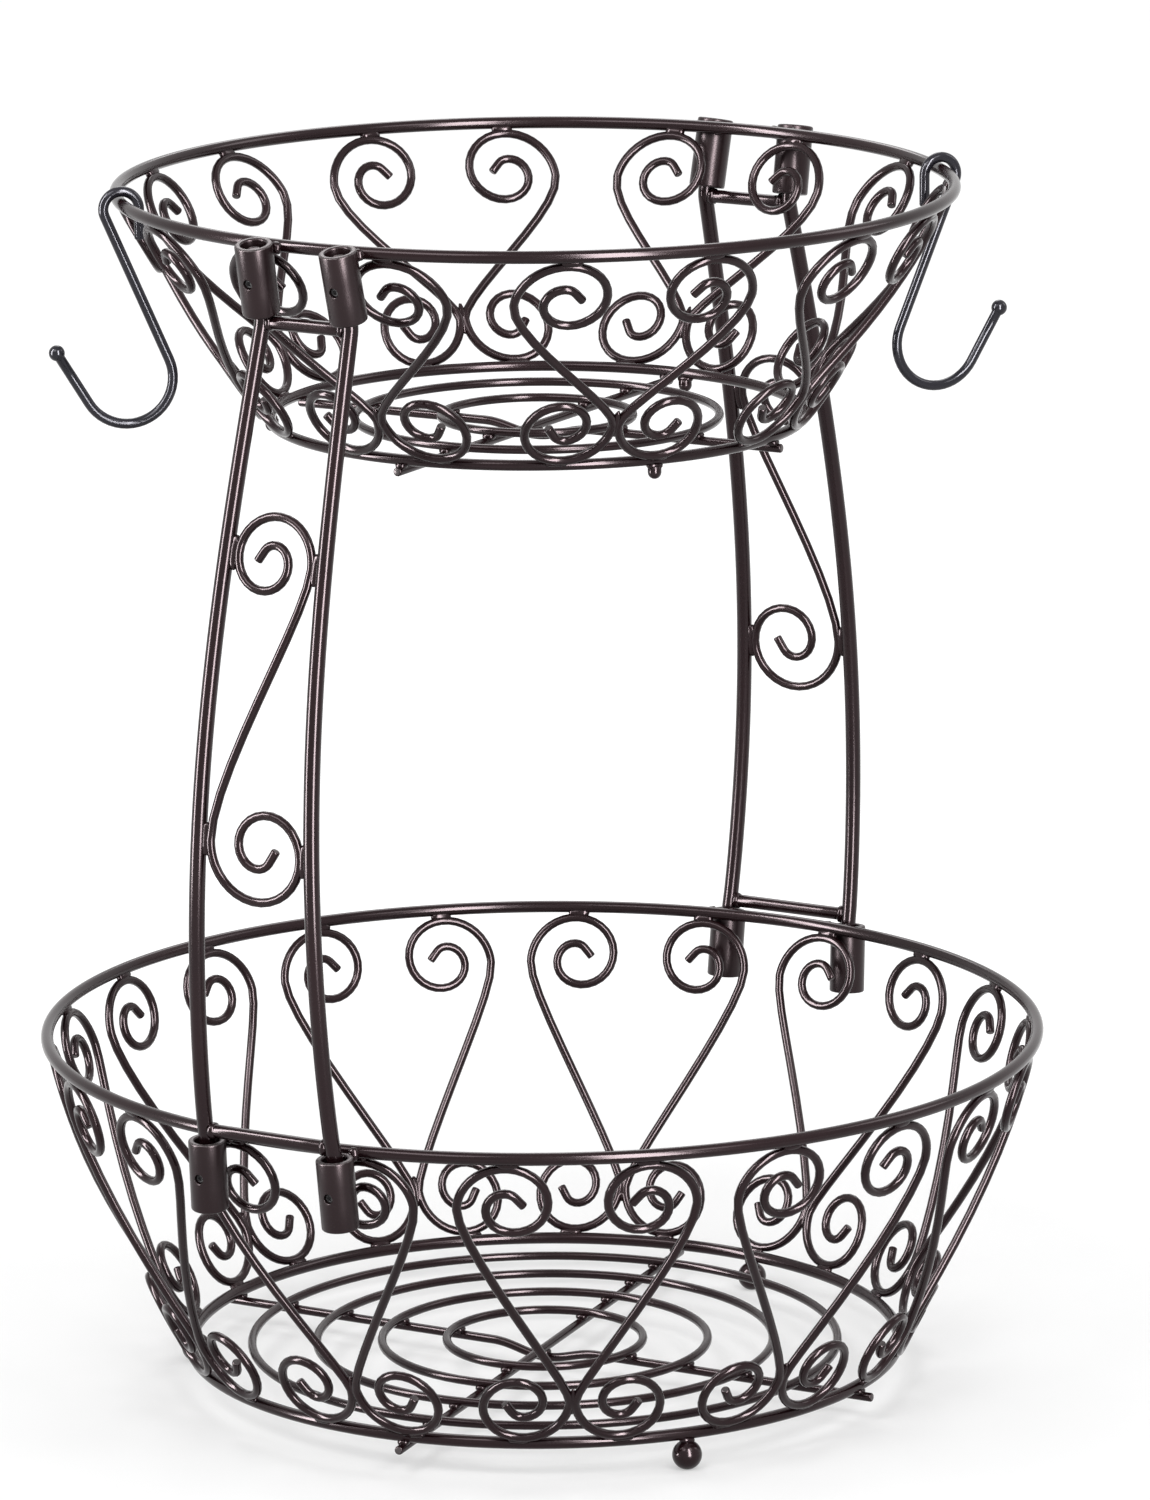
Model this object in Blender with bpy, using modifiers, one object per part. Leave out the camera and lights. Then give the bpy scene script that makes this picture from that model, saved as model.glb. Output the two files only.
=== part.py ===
"""Two-tier wire fruit basket.

Two round wire bowls stand one above the other, joined by two tapering ladders whose posts sit in tube
sockets outside the rims. Two loose hooks hang on the upper rim. Lengths are in metres and +Z is up. The
basket stands on Z = 0, centred on the Z axis, with its ladders at the front (-Y) and the back (+Y).
Angles round the basket are counted in degrees from the front towards +X.
"""

import math

import bmesh
import bpy
from mathutils import Matrix, Vector

# Wire and tube thicknesses
RIM_WIRE = 0.0039
LOWER_BASE_WIRE = 0.0038
UPPER_BASE_WIRE = 0.0034
THIN_WIRE = 0.0028
POST_WIRE = 0.0049
CROSSBAR_WIRE = 0.0042
HOOK_WIRE = 0.0032

# Lower bowl
LOWER_RIM_RADIUS = 0.1550
LOWER_BASE_RADIUS = 0.1117
LOWER_WALL_HEIGHT = 0.1014
LOWER_BELLY = 0.0042
LOWER_WALL_INSET = 0.0010
LOWER_WALL_OUTSET = 0.0013
LOWER_PAIRS = 11
LOWER_PAIR_START = 2.4
LOWER_SCROLL_REACH = 0.0354
LOWER_FLOOR_RING_SHARES = (0.828, 0.645, 0.461, 0.278)
LOWER_CROSS_ANGLES = (8.5, 92.0)
LOWER_CROSS_OVERHANG = 0.0025
LOWER_FOOT_START = 53.9

# Upper bowl
UPPER_RIM_RADIUS = 0.1285
UPPER_BASE_RADIUS = 0.0823
UPPER_WALL_HEIGHT = 0.0709
UPPER_BELLY = 0.0015
UPPER_WALL_INSET = 0.0002
UPPER_WALL_OUTSET = 0.0016
UPPER_PAIRS = 8
UPPER_PAIR_START = 0.8
UPPER_SCROLL_REACH = 0.0361
UPPER_FLOOR_RING_SHARES = (0.684, 0.360)
UPPER_CROSS_ANGLES = (1.5, 92.0)
UPPER_CROSS_OVERHANG = 0.0012
UPPER_FOOT_START = 56.5

# Height from the lower rim to the upper rim, between wire centres
TIER_STEP = 0.2660

# Shares that shape the sloping walls: how early the belly comes
BELLY_RISE_SHARE = 0.75

# Scrolls of the walls. A curl's bend radius shrinks from its outer side to its tip, whose end is straight
UPPER_CURL_BEND = 0.0157
LOWER_CURL_BEND = 0.0150
CURL_TIP_BEND = 0.0035
UPPER_CURL_TURN = math.radians(500)
LOWER_CURL_TURN = math.radians(508)
CURL_STRAIGHT_TIP = 0.0042
CURL_TIGHTENING_SHARE = 1.05
STEM_UPPER_HANDLE = 0.0130
STEM_LOWER_HANDLE = 0.0075
PAIR_OVERLAP = 0.0010

# Feet
BALL_FOOT_RADIUS = 0.0046
BALL_FOOT_FLAT = 0.0003
PEG_RADIUS = 0.0021
PEG_LENGTH = 0.0040
FEET = 3

# Sockets for the ladder posts
SOCKET_OUTER = 0.0114
SOCKET_BORE = 0.0076
SOCKET_LENGTH = 0.0220
SOCKET_EDGE = 0.0006
LOWER_SOCKET_TILT = math.radians(5.5)
UPPER_SOCKET_TILT = math.radians(13)
LOWER_SOCKET_RISE = -0.0004
UPPER_SOCKET_RISE = 0.0014
SCREW_HOLE = 0.0030

# Ladders
LADDER_HALF_WIDTH_LOW = 0.0223
LADDER_HALF_WIDTH_HIGH = 0.0147
LADDER_TWIST = math.radians(1.0)
LADDER_BOW = 0.0165
LADDER_BOW_SHARE = 0.88
POST_SET_BACK = 0.0015
POST_BEND_BELOW = 0.0022
LOW_CROSSBAR_HEIGHT = 0.0028
CROSSBAR_BELOW_SOCKET = 0.0028
LADDER_SCROLL_TOP = 0.1888
LADDER_SCROLL_BOTTOM = 0.0764
LADDER_CURL_TURN = math.radians(508)
LADDER_CURL_TIP_SHARE = 0.22
LADDER_STRAIGHT_TIP_SHARE = 0.27

# Hooks on the upper rim
HOOK_ANGLES = (133.5, -47.0)
HOOK_TWISTS = (12.0, 0.0)
HOOK_ARCH_RADIUS = 0.0055
HOOK_INNER_LEG = 0.0095
HOOK_LEG_LEAN = math.radians(23)
HOOK_LEG = 0.0485
HOOK_CRADLE_RADIUS = 0.0140
HOOK_TIP_LEAN = math.radians(31)
HOOK_TIP = 0.0187
HOOK_BALL_RADIUS = 0.0025

# Clearance between pieces that touch, the merge distance, and how far a cutter runs past its wall
GAP = 0.0003
MERGE = 0.00002
OVERRUN = 0.0020

# Half turns and full turns
HALF_TURN = math.pi
FULL_TURN = math.tau

# How finely each shape is divided
RIM_SEGMENTS = 36
BASE_SEGMENTS = 32
FLOOR_SEGMENT_LENGTH = 0.0190
CURL_STEPS = 10
CURL_STEP_SHARE = 1.3
CURL_SUBSTEPS = 12
STEM_STEPS = 4
POST_STEPS = 9
FOOT_STEPS = 12
FOOT_ARC_STEPS = 6
SOCKET_STEPS = 12
SOCKET_WALL_STEPS = 8
HOOK_ARCH_STEPS = 7
HOOK_CRADLE_STEPS = 7
BALL_STEPS = 5
DIP_STEPS = 3
SEAT_STEPS = 16

# Derived heights
LOWER_BASE_HEIGHT = LOWER_BASE_WIRE / 2 + GAP + 2 * BALL_FOOT_RADIUS - BALL_FOOT_FLAT
LOWER_RIM_HEIGHT = LOWER_BASE_HEIGHT + LOWER_WALL_HEIGHT
UPPER_RIM_HEIGHT = LOWER_RIM_HEIGHT + TIER_STEP
UPPER_BASE_HEIGHT = UPPER_RIM_HEIGHT - UPPER_WALL_HEIGHT

# Colours of the powder coat: warm dark bronze on the stand, a bluer black on the hooks
BRONZE = (0.045, 0.030, 0.032, 1.0)
HOOK_BLACK = (0.030, 0.028, 0.034, 1.0)
COAT_METALLIC = 0.35
COAT_ROUGHNESS = 0.32
SMOOTH_ANGLE = math.radians(50)


def clear_scene():
    """Start from an empty scene."""
    for old in list(bpy.data.objects):
        bpy.data.objects.remove(old, do_unlink=True)


def new_collection(name):
    """A collection linked to the scene."""
    collection = bpy.data.collections.new(name)
    bpy.context.scene.collection.children.link(collection)
    return collection


def add_coat(piece, colour):
    """Give a piece its own powder coat."""
    coat = bpy.data.materials.new(piece.name + "_coat")
    coat.use_nodes = True
    shader = coat.node_tree.nodes["Principled BSDF"]
    shader.inputs["Base Color"].default_value = colour
    shader.inputs["Metallic"].default_value = COAT_METALLIC
    shader.inputs["Roughness"].default_value = COAT_ROUGHNESS
    piece.data.materials.append(coat)


def place(piece, colour=BRONZE):
    """Put a finished piece in the basket's collection, coated."""
    parts.objects.link(piece)
    add_coat(piece, colour)
    return piece


def polar(reach, angle, height):
    """The point at a distance from the Z axis, at an angle from the front towards +X."""
    return Vector((reach * math.sin(angle), -reach * math.cos(angle), height))


def wire_curve(name, points, thickness, resolution=1, swell=None):
    """A round wire through points, with closed ends. swell scales its thickness at each point."""
    data = bpy.data.curves.new(name, "CURVE")
    data.dimensions = "3D"
    data.bevel_depth = thickness / 2
    data.bevel_resolution = resolution
    data.use_fill_caps = True
    spline = data.splines.new("POLY")
    spline.points.add(len(points) - 1)
    for index, (spot, point) in enumerate(zip(spline.points, points)):
        spot.co = (*point, 1)
        spot.radius = swell[index] if swell else 1
    spline.use_smooth = True
    return bpy.data.objects.new(name, data)


def wire_mesh(name, points, thickness):
    """The same wire as a closed mesh, for a piece that a modifier shapes further."""
    wire = wire_curve(name + "_line", points, thickness)
    parts.objects.link(wire)
    bpy.context.view_layer.update()
    evaluated = wire.evaluated_get(bpy.context.evaluated_depsgraph_get())
    mesh = bpy.data.meshes.new_from_object(evaluated)
    bpy.data.objects.remove(wire, do_unlink=True)
    shape = bmesh.new()
    shape.from_mesh(mesh)
    bmesh.ops.remove_doubles(shape, verts=shape.verts, dist=MERGE)
    shape.to_mesh(mesh)
    shape.free()
    mesh.name = name
    mesh.shade_smooth()
    mesh.set_sharp_from_angle(angle=SMOOTH_ANGLE)
    return mesh


def turned(name, profile, steps, closed_profile=False):
    """A turned piece from (radius, height) points that run down its outer side."""
    mesh = bpy.data.meshes.new(name)
    edges = [(spot, spot + 1) for spot in range(len(profile) - 1)]
    if closed_profile:
        edges.append((len(profile) - 1, 0))
    mesh.from_pydata([(radius, 0, height) for radius, height in profile], edges, [])
    piece = bpy.data.objects.new(name, mesh)
    screw = piece.modifiers.new("turn", "SCREW")
    screw.steps = steps
    screw.render_steps = steps
    screw.use_merge_vertices = True
    screw.merge_threshold = MERGE
    screw.use_smooth_shade = True
    return piece


def ring(name, radius, thickness, height, segments, sides, start=0.0):
    """A closed round ring of wire lying level, with one of its joints at the start angle."""
    bpy.ops.mesh.primitive_torus_add(
        major_radius=radius,
        minor_radius=thickness / 2,
        major_segments=segments,
        minor_segments=sides,
        location=(0, 0, height),
        rotation=(0, 0, start - HALF_TURN / 2),
    )
    piece = bpy.context.active_object
    piece.name = name
    piece.data.name = name
    for collection in list(piece.users_collection):
        collection.objects.unlink(piece)
    piece.data.shade_smooth()
    return place(piece)


def curl(outer_bend, tip_bend, turn, straight_tip):
    """Flat points of a curl, from its outer side inwards to the end of its straight tip.

    The wire starts at (0, 0) heading down and turns towards +X, and its bend radius shrinks on the way.
    """
    here = Vector((0, 0))
    points = [here.copy()]
    for step in range(CURL_STEPS):
        start = turn * (step / CURL_STEPS) ** CURL_STEP_SHARE
        end = turn * ((step + 1) / CURL_STEPS) ** CURL_STEP_SHARE
        part = (end - start) / CURL_SUBSTEPS
        for substep in range(CURL_SUBSTEPS):
            turned_by = start + (substep + 1) * part - part / 2
            bend = outer_bend + (tip_bend - outer_bend) * (turned_by / turn) ** CURL_TIGHTENING_SHARE
            here += bend * part * Vector((math.sin(turned_by), -math.cos(turned_by)))
        points.append(here.copy())
    points.append(here + straight_tip * Vector((math.sin(turn), -math.cos(turn))))
    return points


def stem(top, bottom, upper_handle, lower_handle):
    """Points between two ends that both head straight down, along a smooth S line."""
    first = top - Vector((0, upper_handle))
    second = bottom + Vector((0, lower_handle))
    points = []
    for step in range(1, STEM_STEPS):
        share = step / STEM_STEPS
        rest = 1 - share
        point = rest ** 3 * top + 3 * rest ** 2 * share * first
        point += 3 * rest * share ** 2 * second + share ** 3 * bottom
        points.append(point)
    return points


def scroll_line(top, bottom, left, right, upper_curl, lower_curl, upper_handle, lower_handle):
    """A flat scroll: its upper curl hangs left of `right`, its lower curl lies right of `left`.

    The line just reaches the heights top and bottom.
    """
    upper = [-point for point in upper_curl]
    start = Vector((right, top - max(point.y for point in upper)))
    end = Vector((left, bottom - min(point.y for point in lower_curl)))
    line = [start + point for point in reversed(upper)]
    line += stem(start, end, upper_handle, lower_handle)
    line += [end + point for point in lower_curl]
    return line


class Bowl:
    """One tier: its rings, its wall line and everything welded to them."""

    def __init__(
        self, name, rim_radius, base_radius, wall_height, belly, inset, outset, rim_height, base_wire
    ):
        self.name = name
        self.rim_radius = rim_radius
        self.base_radius = base_radius
        self.wall_height = wall_height
        self.belly = belly
        self.wall_top_reach = rim_radius - inset
        self.wall_foot_reach = base_radius + outset
        self.rim_height = rim_height
        self.base_height = rim_height - wall_height
        self.base_wire = base_wire
        self.cross_height = self.base_height - (base_wire + THIN_WIRE) / 2 - GAP

    def wall_reach(self, drop):
        """How far out the wall is at a height below the rim."""
        share = drop / self.wall_height
        reach = self.wall_top_reach + (self.wall_foot_reach - self.wall_top_reach) * share
        return reach + self.belly * math.sin(HALF_TURN * share ** BELLY_RISE_SHARE)

    def on_wall(self, side, drop):
        """The point a distance to the right of the front and a height below the rim, on the wall."""
        reach = self.wall_reach(drop)
        return polar(reach, side / reach, self.rim_height - drop)

    def seat(self, ring_radius, ring_drop, way, ring_wire):
        """How far below the rim a wall wire touches a ring: under the ring (way 1) or over it (way -1)."""
        contact = (ring_wire + THIN_WIRE) / 2 + GAP
        near = 0
        far = contact
        for _ in range(SEAT_STEPS):
            depth = (near + far) / 2
            aside = self.wall_reach(ring_drop + way * depth) - ring_radius
            if math.hypot(depth, aside) < contact:
                near = depth
            else:
                far = depth
        return ring_drop + way * far

    def rings(self, floor_ring_shares):
        """The rim, the base ring and the floor rings that rest on the cross wires."""
        hook_joint = math.radians(HOOK_ANGLES[0])
        ring(self.name + "_rim", self.rim_radius, RIM_WIRE, self.rim_height, RIM_SEGMENTS, 8, hook_joint)
        ring(self.name + "_base_ring", self.base_radius, self.base_wire, self.base_height, BASE_SEGMENTS, 6)
        height = self.cross_height + THIN_WIRE + GAP
        for number, ring_share in enumerate(floor_ring_shares, 1):
            radius = ring_share * self.base_radius
            segments = round(FULL_TURN * radius ** 0.5 * self.base_radius ** 0.5 / FLOOR_SEGMENT_LENGTH)
            ring(f"{self.name}_floor_ring_{number}", radius, THIN_WIRE, height, segments, 6)

    def cross_wires(self, angles, overhang):
        """Two wires under the rings. The second dips under the first where they cross."""
        end = self.base_radius + self.base_wire / 2 + overhang
        dip = THIN_WIRE + GAP
        for number, degrees in enumerate(angles, 1):
            angle = math.radians(degrees)
            depth = dip if number > 1 else 0
            line = [polar(-end, angle, self.cross_height)]
            for step in range(-DIP_STEPS, DIP_STEPS + 1):
                along = 2 * dip * step
                sink = depth * (1 + math.cos(HALF_TURN * step / DIP_STEPS)) / 2
                line.append(polar(along, angle, self.cross_height - sink))
            line.append(polar(end, angle, self.cross_height))
            place(wire_curve(f"{self.name}_cross_wire_{number}", line, THIN_WIRE))

    def scroll_pairs(self, count, start, reach):
        """The wall: pairs of mirrored scrolls, each pair joined where its wires meet low down."""
        top = self.seat(self.rim_radius, 0, 1, RIM_WIRE)
        bottom = self.seat(self.base_radius, self.wall_height, -1, self.base_wire)
        slope = math.hypot(1, (self.wall_top_reach - self.wall_foot_reach) / self.wall_height)
        near = (THIN_WIRE - PAIR_OVERLAP) / 2
        flat = scroll_line(
            -top * slope,
            -bottom * slope,
            near,
            near + reach,
            curl(UPPER_CURL_BEND, CURL_TIP_BEND, UPPER_CURL_TURN, CURL_STRAIGHT_TIP),
            curl(LOWER_CURL_BEND, CURL_TIP_BEND, LOWER_CURL_TURN, CURL_STRAIGHT_TIP),
            STEM_UPPER_HANDLE,
            STEM_LOWER_HANDLE,
        )
        points = [self.on_wall(point.x, -point.y / slope) for point in flat]
        mesh = wire_mesh(self.name + "_scroll", points, THIN_WIRE)
        for number in range(count):
            name = f"{self.name}_scroll_pair_{number + 1:02d}"
            pair = bpy.data.objects.new(name, mesh.copy())
            pair.rotation_euler.z = math.radians(start) + number * FULL_TURN / count
            mirror = pair.modifiers.new("other_wire", "MIRROR")
            mirror.use_axis[0] = True
            mirror.use_bisect_axis[0] = True
            mirror.merge_threshold = MERGE
            mirror.bisect_threshold = MERGE
            place(pair)
        bpy.data.meshes.remove(mesh)

    def socket_reach(self, tilt, rise):
        """How far out a socket's axis passes the rim's height, clear of the rim and the wall below it."""
        beside = SOCKET_OUTER / 2 + GAP
        reach = self.rim_radius + (RIM_WIRE / 2 + beside) / math.cos(tilt)
        for step in range(1, SOCKET_WALL_STEPS + 1):
            drop = (SOCKET_LENGTH - rise) * step / SOCKET_WALL_STEPS
            wall = self.wall_reach(drop) + (THIN_WIRE / 2 + beside) / math.cos(tilt)
            reach = max(reach, wall + drop * math.tan(tilt))
        return reach

    def socket_axis(self, side, half_width, tilt, rise, lean):
        """The top of a socket's axis and its direction upwards, for the front ladder.

        The socket touches the outside of the rim. It tilts outwards, and leans as the posts do.
        """
        across = side * half_width
        reach = self.socket_reach(tilt, rise)
        forward = math.sqrt(reach ** 2 - across ** 2)
        up = Vector((-side * lean, -math.tan(tilt), 1))
        return Vector((across, -forward, self.rim_height)) + rise * up, up.normalized()


def ball_foot(name, bowl, angle):
    """A ball welded under the base ring, with a small flat to stand on."""
    centre = BALL_FOOT_RADIUS - BALL_FOOT_FLAT
    last = math.acos(-centre / BALL_FOOT_RADIUS)
    profile = []
    for step in range(FOOT_ARC_STEPS + 1):
        turned_by = last * step / FOOT_ARC_STEPS
        profile.append((BALL_FOOT_RADIUS * math.sin(turned_by), centre + BALL_FOOT_RADIUS * math.cos(turned_by)))
    profile.append((0, 0))
    foot = place(turned(name, profile, FOOT_STEPS))
    foot.location = polar(bowl.base_radius, angle, 0)


def peg(name, bowl, angle):
    """A short round-ended pin welded under the base ring."""
    top = bowl.base_height - bowl.base_wire / 2 - GAP
    profile = [(0, PEG_LENGTH), (PEG_RADIUS, PEG_LENGTH)]
    for step in range(FOOT_ARC_STEPS // 2 + 1):
        turned_by = HALF_TURN / 2 * step / (FOOT_ARC_STEPS // 2)
        profile.append((PEG_RADIUS * math.cos(turned_by), PEG_RADIUS - PEG_RADIUS * math.sin(turned_by)))
    pin = place(turned(name, profile, FOOT_STEPS))
    pin.location = polar(bowl.base_radius, angle, top - PEG_LENGTH)


def socket(name, top, up, turn):
    """A short tube with rounded rims and a screw hole in its outward face."""
    outer = SOCKET_OUTER / 2
    bore = SOCKET_BORE / 2
    profile = [
        (outer - SOCKET_EDGE, 0),
        (outer, -SOCKET_EDGE),
        (outer, SOCKET_EDGE - SOCKET_LENGTH),
        (outer - SOCKET_EDGE, -SOCKET_LENGTH),
        (bore + SOCKET_EDGE, -SOCKET_LENGTH),
        (bore, SOCKET_EDGE - SOCKET_LENGTH),
        (bore, -SOCKET_EDGE),
        (bore + SOCKET_EDGE, 0),
    ]
    tube = place(turned(name, profile, SOCKET_STEPS, closed_profile=True))
    forward = Vector((0, -1, 0))
    forward = (forward - forward.dot(up) * up).normalized()
    across = forward.cross(up)
    frame = Matrix((across, forward, up)).transposed().to_4x4()
    tube.matrix_world = turn @ Matrix.Translation(top) @ frame

    depth = outer - bore + 2 * OVERRUN
    bpy.ops.mesh.primitive_cylinder_add(vertices=8, radius=SCREW_HOLE / 2, depth=depth)
    cutter = bpy.context.active_object
    cutter.name = name + "_hole_cutter"
    for collection in list(cutter.users_collection):
        collection.objects.unlink(cutter)
    cutters.objects.link(cutter)
    cutter.hide_render = True
    cutter.display_type = "WIRE"
    level = Matrix.Rotation(HALF_TURN / 2, 4, "X")
    out = Matrix.Translation((0, (outer + bore) / 2, -SOCKET_LENGTH / 2))
    cutter.matrix_world = tube.matrix_world @ out @ level
    hole = tube.modifiers.new("screw_hole", "BOOLEAN")
    hole.object = cutter
    hole.solver = "EXACT"


class Ladder:
    """The line that both ladders follow, worked out for the front one between its sockets."""

    def __init__(self, lower, upper):
        self.lower = lower
        self.upper = upper
        self.rise = upper.rim_height - lower.rim_height
        self.lean = (LADDER_HALF_WIDTH_LOW - LADDER_HALF_WIDTH_HIGH) / self.rise
        self.low_top, self.low_up = lower.socket_axis(
            1, LADDER_HALF_WIDTH_LOW, LOWER_SOCKET_TILT, LOWER_SOCKET_RISE, self.lean
        )
        self.high_top, self.high_up = upper.socket_axis(
            1, LADDER_HALF_WIDTH_HIGH, UPPER_SOCKET_TILT, UPPER_SOCKET_RISE, self.lean
        )
        self.bend = self.high_top - (SOCKET_LENGTH + POST_BEND_BELOW) * self.high_up

    def point(self, height):
        """The right post's centre at a height, between the lower socket's top and the upper bend."""
        share = (height - self.low_top.z) / (self.bend.z - self.low_top.z)
        spot = self.low_top.lerp(self.bend, share)
        if share > 0:
            spot.y -= LADDER_BOW * math.sin(HALF_TURN * share ** LADDER_BOW_SHARE)
        return spot

    def twisted(self, point):
        """A point moved round the Z axis, as the lower sockets sit a little round from the upper ones."""
        share = (self.upper.rim_height - point.z) / self.rise
        return Matrix.Rotation(LADDER_TWIST * share, 3, "Z") @ point

    def post_line(self, side):
        """A post from inside the lower socket, up the bow, and round the bend into the upper socket."""
        foot = self.low_top - (SOCKET_LENGTH - POST_SET_BACK) * self.low_up
        line = [foot]
        for step in range(POST_STEPS):
            line.append(self.point(self.low_top.z + (self.bend.z - self.low_top.z) * step / POST_STEPS))
        line.append(self.bend)
        line.append(self.high_top - POST_SET_BACK * self.high_up)
        return [self.twisted(Vector((side * point.x, point.y, point.z))) for point in line]

    def half_gap(self, height):
        """Half the clear width between the posts at a height."""
        return self.point(height).x - POST_WIRE / 2 - GAP

    def crossbar_line(self, height):
        """A level bar between the posts."""
        half = self.half_gap(height)
        forward = self.point(height).y
        return [self.twisted(Vector((side * half, forward, height))) for side in (-1, 1)]

    def scroll_points(self):
        """The ladder's scroll, whose curls touch both posts."""
        top = self.lower.rim_height + LADDER_SCROLL_TOP
        bottom = self.lower.rim_height + LADDER_SCROLL_BOTTOM
        unit = curl(1, LADDER_CURL_TIP_SHARE, LADDER_CURL_TURN, LADDER_STRAIGHT_TIP_SHARE)
        width = max(point.x for point in unit)
        high_bend = (2 * self.half_gap(top) - THIN_WIRE) / width
        low_bend = (2 * self.half_gap(bottom + high_bend) - THIN_WIRE) / width
        left = THIN_WIRE / 2 - self.half_gap(bottom + low_bend)
        flat = scroll_line(
            top,
            bottom,
            left,
            self.half_gap(top) - THIN_WIRE / 2,
            [high_bend * point for point in unit],
            [low_bend * point for point in unit],
            high_bend,
            low_bend,
        )
        return [self.twisted(Vector((point.x, self.point(point.y).y, point.y))) for point in flat]


def move_all(points, turn):
    """Points turned by a matrix."""
    return [turn @ point for point in points]


def make_ladder(name, ladder, turn):
    """Two posts, two crossbars and a scroll, turned to the front or the back."""
    for side, word in ((-1, "left"), (1, "right")):
        line = move_all(ladder.post_line(side), turn)
        place(wire_curve(f"{name}_ladder_{word}_post", line, POST_WIRE, resolution=2))
    low = ladder.lower.rim_height + LOW_CROSSBAR_HEIGHT
    high = ladder.bend.z - CROSSBAR_BELOW_SOCKET + POST_BEND_BELOW
    for word, height in (("low", low), ("high", high)):
        line = move_all(ladder.crossbar_line(height), turn)
        place(wire_curve(f"{name}_ladder_{word}_crossbar", line, CROSSBAR_WIRE, resolution=2))
    place(wire_curve(f"{name}_ladder_scroll", move_all(ladder.scroll_points(), turn), THIN_WIRE))


def make_sockets(name, ladder, turn):
    """The four sockets of one ladder: two on each rim."""
    for side, word in ((-1, "left"), (1, "right")):
        for tier, top, up in (
            ("lower", ladder.low_top, ladder.low_up),
            ("upper", ladder.high_top, ladder.high_up),
        ):
            centre = Vector((side * top.x, top.y, top.z))
            along = Vector((side * up.x, up.y, up.z))
            round_axis = (ladder.upper.rim_height - top.z) / ladder.rise * LADDER_TWIST
            twist = Matrix.Rotation(round_axis, 4, "Z")
            socket(f"{tier}_socket_{name}_{word}", centre, along, turn @ twist)


def hook_line():
    """A hook seen flat, as (outwards, up) points from the rim wire's centre, and each point's swell."""
    points = []
    arch_top = RIM_WIRE / 2 + GAP + HOOK_WIRE / 2
    centre = Vector((0, arch_top - HOOK_ARCH_RADIUS))
    points.append(centre + Vector((-HOOK_ARCH_RADIUS, -HOOK_INNER_LEG)))
    for step in range(HOOK_ARCH_STEPS + 1):
        turned_by = (HALF_TURN + HOOK_LEG_LEAN) * step / HOOK_ARCH_STEPS
        points.append(centre + HOOK_ARCH_RADIUS * Vector((-math.cos(turned_by), math.sin(turned_by))))
    down = Vector((-math.sin(HOOK_LEG_LEAN), -math.cos(HOOK_LEG_LEAN)))
    leg_end = points[-1] + HOOK_LEG * down
    centre = leg_end + HOOK_CRADLE_RADIUS * Vector((-down.y, down.x))
    for step in range(HOOK_CRADLE_STEPS + 1):
        turned_by = (HALF_TURN + HOOK_LEG_LEAN - HOOK_TIP_LEAN) * step / HOOK_CRADLE_STEPS - HOOK_LEG_LEAN
        points.append(centre + HOOK_CRADLE_RADIUS * Vector((-math.cos(turned_by), -math.sin(turned_by))))
    swell = [1] * len(points)
    out = Vector((math.sin(HOOK_TIP_LEAN), math.cos(HOOK_TIP_LEAN)))
    ball = points[-1] + HOOK_TIP * out
    first = math.asin(HOOK_WIRE / 2 / HOOK_BALL_RADIUS)
    last = HALF_TURN - first / 2
    for step in range(BALL_STEPS + 1):
        turned_by = first + (last - first) * step / BALL_STEPS
        points.append(ball - HOOK_BALL_RADIUS * math.cos(turned_by) * out)
        swell.append(2 * HOOK_BALL_RADIUS * math.sin(turned_by) / HOOK_WIRE)
    return points, swell


def make_hook(name, bowl, angle, twist):
    """A loose hook with a ball tip, hung over the rim. Its origin is the rim wire's centre."""
    points, swell = hook_line()
    line = [Vector((point.x, 0, point.y)) for point in points]
    hook = wire_curve(name, line, HOOK_WIRE, swell=swell)
    place(hook, HOOK_BLACK)
    hook.location = polar(bowl.rim_radius, angle, bowl.rim_height)
    hook.rotation_euler.z = angle + twist - HALF_TURN / 2


clear_scene()
parts = new_collection("two_tier_fruit_basket")
cutters = new_collection("cutters")

lower_bowl = Bowl(
    "lower",
    LOWER_RIM_RADIUS,
    LOWER_BASE_RADIUS,
    LOWER_WALL_HEIGHT,
    LOWER_BELLY,
    LOWER_WALL_INSET,
    LOWER_WALL_OUTSET,
    LOWER_RIM_HEIGHT,
    LOWER_BASE_WIRE,
)
lower_bowl.rings(LOWER_FLOOR_RING_SHARES)
lower_bowl.cross_wires(LOWER_CROSS_ANGLES, LOWER_CROSS_OVERHANG)
lower_bowl.scroll_pairs(LOWER_PAIRS, LOWER_PAIR_START, LOWER_SCROLL_REACH)

upper_bowl = Bowl(
    "upper",
    UPPER_RIM_RADIUS,
    UPPER_BASE_RADIUS,
    UPPER_WALL_HEIGHT,
    UPPER_BELLY,
    UPPER_WALL_INSET,
    UPPER_WALL_OUTSET,
    UPPER_RIM_HEIGHT,
    UPPER_BASE_WIRE,
)
upper_bowl.rings(UPPER_FLOOR_RING_SHARES)
upper_bowl.cross_wires(UPPER_CROSS_ANGLES, UPPER_CROSS_OVERHANG)
upper_bowl.scroll_pairs(UPPER_PAIRS, UPPER_PAIR_START, UPPER_SCROLL_REACH)

for foot_number in range(FEET):
    turn_on = foot_number * FULL_TURN / FEET
    ball_foot(f"lower_ball_foot_{foot_number + 1}", lower_bowl, math.radians(LOWER_FOOT_START) + turn_on)
    peg(f"upper_peg_{foot_number + 1}", upper_bowl, math.radians(UPPER_FOOT_START) + turn_on)

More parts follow.
